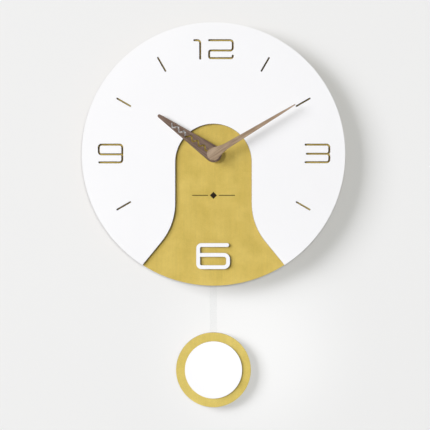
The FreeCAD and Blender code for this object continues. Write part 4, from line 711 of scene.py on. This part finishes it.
wall = flat("wall", [(-WALL_REACH, WALL_Y, FLOOR_Z), (WALL_REACH, WALL_Y, FLOOR_Z),
                     (WALL_REACH, WALL_Y, WALL_REACH), (-WALL_REACH, WALL_Y, WALL_REACH)],
            wall_paint())
floor = flat("floor", [(-FLOOR_HALF_WIDTH, FLOOR_FRONT, FLOOR_Z),
                       (FLOOR_HALF_WIDTH, FLOOR_FRONT, FLOOR_Z),
                       (FLOOR_HALF_WIDTH, FLOOR_BACK, FLOOR_Z),
                       (-FLOOR_HALF_WIDTH, FLOOR_BACK, FLOOR_Z)], floor_paint())
floor.visible_diffuse = False


class RoomLight(Finish):
    """The even light of a pale room, written with the same tools as a finish."""

    def __init__(self, name):
        self.world = bpy.data.worlds.new(name)
        self.world.use_nodes = True
        self.tree = self.world.node_tree
        self.shader = self.tree.nodes["Background"]


room = RoomLight("pale room")
room.fill(room.shader.inputs["Color"], (1.0, 1.0, 1.0))
seen = room.add("ShaderNodeLightPath", {}, {}, "Is Camera Ray")
seen_through = room.add("ShaderNodeLightPath", {}, {}, "Is Transmission Ray")
room.fill(room.shader.inputs["Strength"], seen.higher(seen_through) * ROOM_SEEN + ROOM_LIGHT)
bpy.context.scene.world = room.world


def hang(lamp, place, aim, mirrored):
    """Puts a lamp in its place, facing its aim; one that isn't mirrored leaves
    no bright spot on glossy finishes."""
    holder = bpy.data.objects.new(lamp.name, lamp)
    holder.visible_glossy = mirrored
    holder.visible_transmission = False
    holder.location = place
    holder.rotation_mode = "QUATERNION"
    holder.rotation_quaternion = (place - aim).to_track_quat("Z", "Y")
    bpy.context.scene.collection.objects.link(holder)
    return holder


def softbox(name, direction, distance, size, watts, mirrored=True, tint=(1.0, 1.0, 1.0)):
    """A square softbox at a distance from the hands, facing them."""
    lamp = bpy.data.lights.new(name, "AREA")
    lamp.shape = "SQUARE"
    lamp.size = size
    lamp.energy = watts
    lamp.color = tint
    return hang(lamp, HANDS + Vector(direction).normalized() * distance, HANDS, mirrored)


def group(name, pieces, state="INCLUDE"):
    """A named set of pieces for a lamp to light, or to leave out."""
    held = bpy.data.collections.new(name)
    for piece in pieces:
        held.objects.link(piece)
    for entry in held.collection_objects:
        entry.light_linking.link_state = state
    return held


softbox("window softbox", (-1.30, -1.0, 0.44), 18.0, 9.3, 2430.0, tint=(1.0, 0.995, 1.04))
wall_fill = softbox("wall fill", (0.02, -1.0, 0.02), 5.0, 0.9, 141.0, False, (1.0, 1.003, 0.96))
wall_fill.light_linking.receiver_collection = group("wall and floor", [wall, floor])
# a crisp light from the left, part of which passes the hour hand
for name, casting, watts in (("board light", RELIEF, 82.0),
                             ("hand light", RELIEF + ("hour_hand",), 144.0)):
    relief_light = softbox(name, (-0.48, -1.0, 0.15), 6.0, 0.5, watts, False)
    backdrop = group(name + " falls on", [wall, floor], "EXCLUDE")
    relief_light.light_linking.receiver_collection = backdrop
    casts = [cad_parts[node] for node in casting]
    relief_light.light_linking.blocker_collection = group(name + " shadows", casts)
floor_light = softbox("floor light", (0.0, 0.1, 1.0), 15.0, 14.0, 1500.0, False)
floor_light.light_linking.receiver_collection = group("floor only", [floor])
softbox("rear softbox left", (1.2, 1.6, 0.9), 2.4, 1.2, 75.0)
softbox("rear softbox right", (-1.4, 1.5, 0.3), 2.4, 1.2, 45.0)

# a narrow, soft-edged lamp in front lifts the pendulum and the wall round it
GLOW_PLACE = Vector((0.05, -3.0, -0.20))
GLOW_AIM = Vector((0.044, 0.0, -0.262))
GLOW_RADIUS = 0.118              # on the wall
glow = bpy.data.lights.new("pendulum lamp", "SPOT")
glow.spot_size = 2 * math.atan(GLOW_RADIUS / -GLOW_PLACE.y)
glow.spot_blend = 1.0
glow.energy = 40.0
glow.shadow_soft_size = 0.05
hang(glow, GLOW_PLACE, GLOW_AIM, False)


# ------------------------------------------------------------------ camera
CAMERA_PLACE = (1.77 * MM, -2.5, -107.4 * MM)
lens = bpy.data.cameras.new("camera")
lens.sensor_width = 36.0
lens.lens = 182.0
camera = bpy.data.objects.new("camera", lens)
camera.location = CAMERA_PLACE
camera.rotation_euler = (math.pi / 2, 0.0, 0.0)
bpy.context.scene.collection.objects.link(camera)
bpy.context.scene.camera = camera
bpy.context.scene.view_settings.view_transform = "Standard"
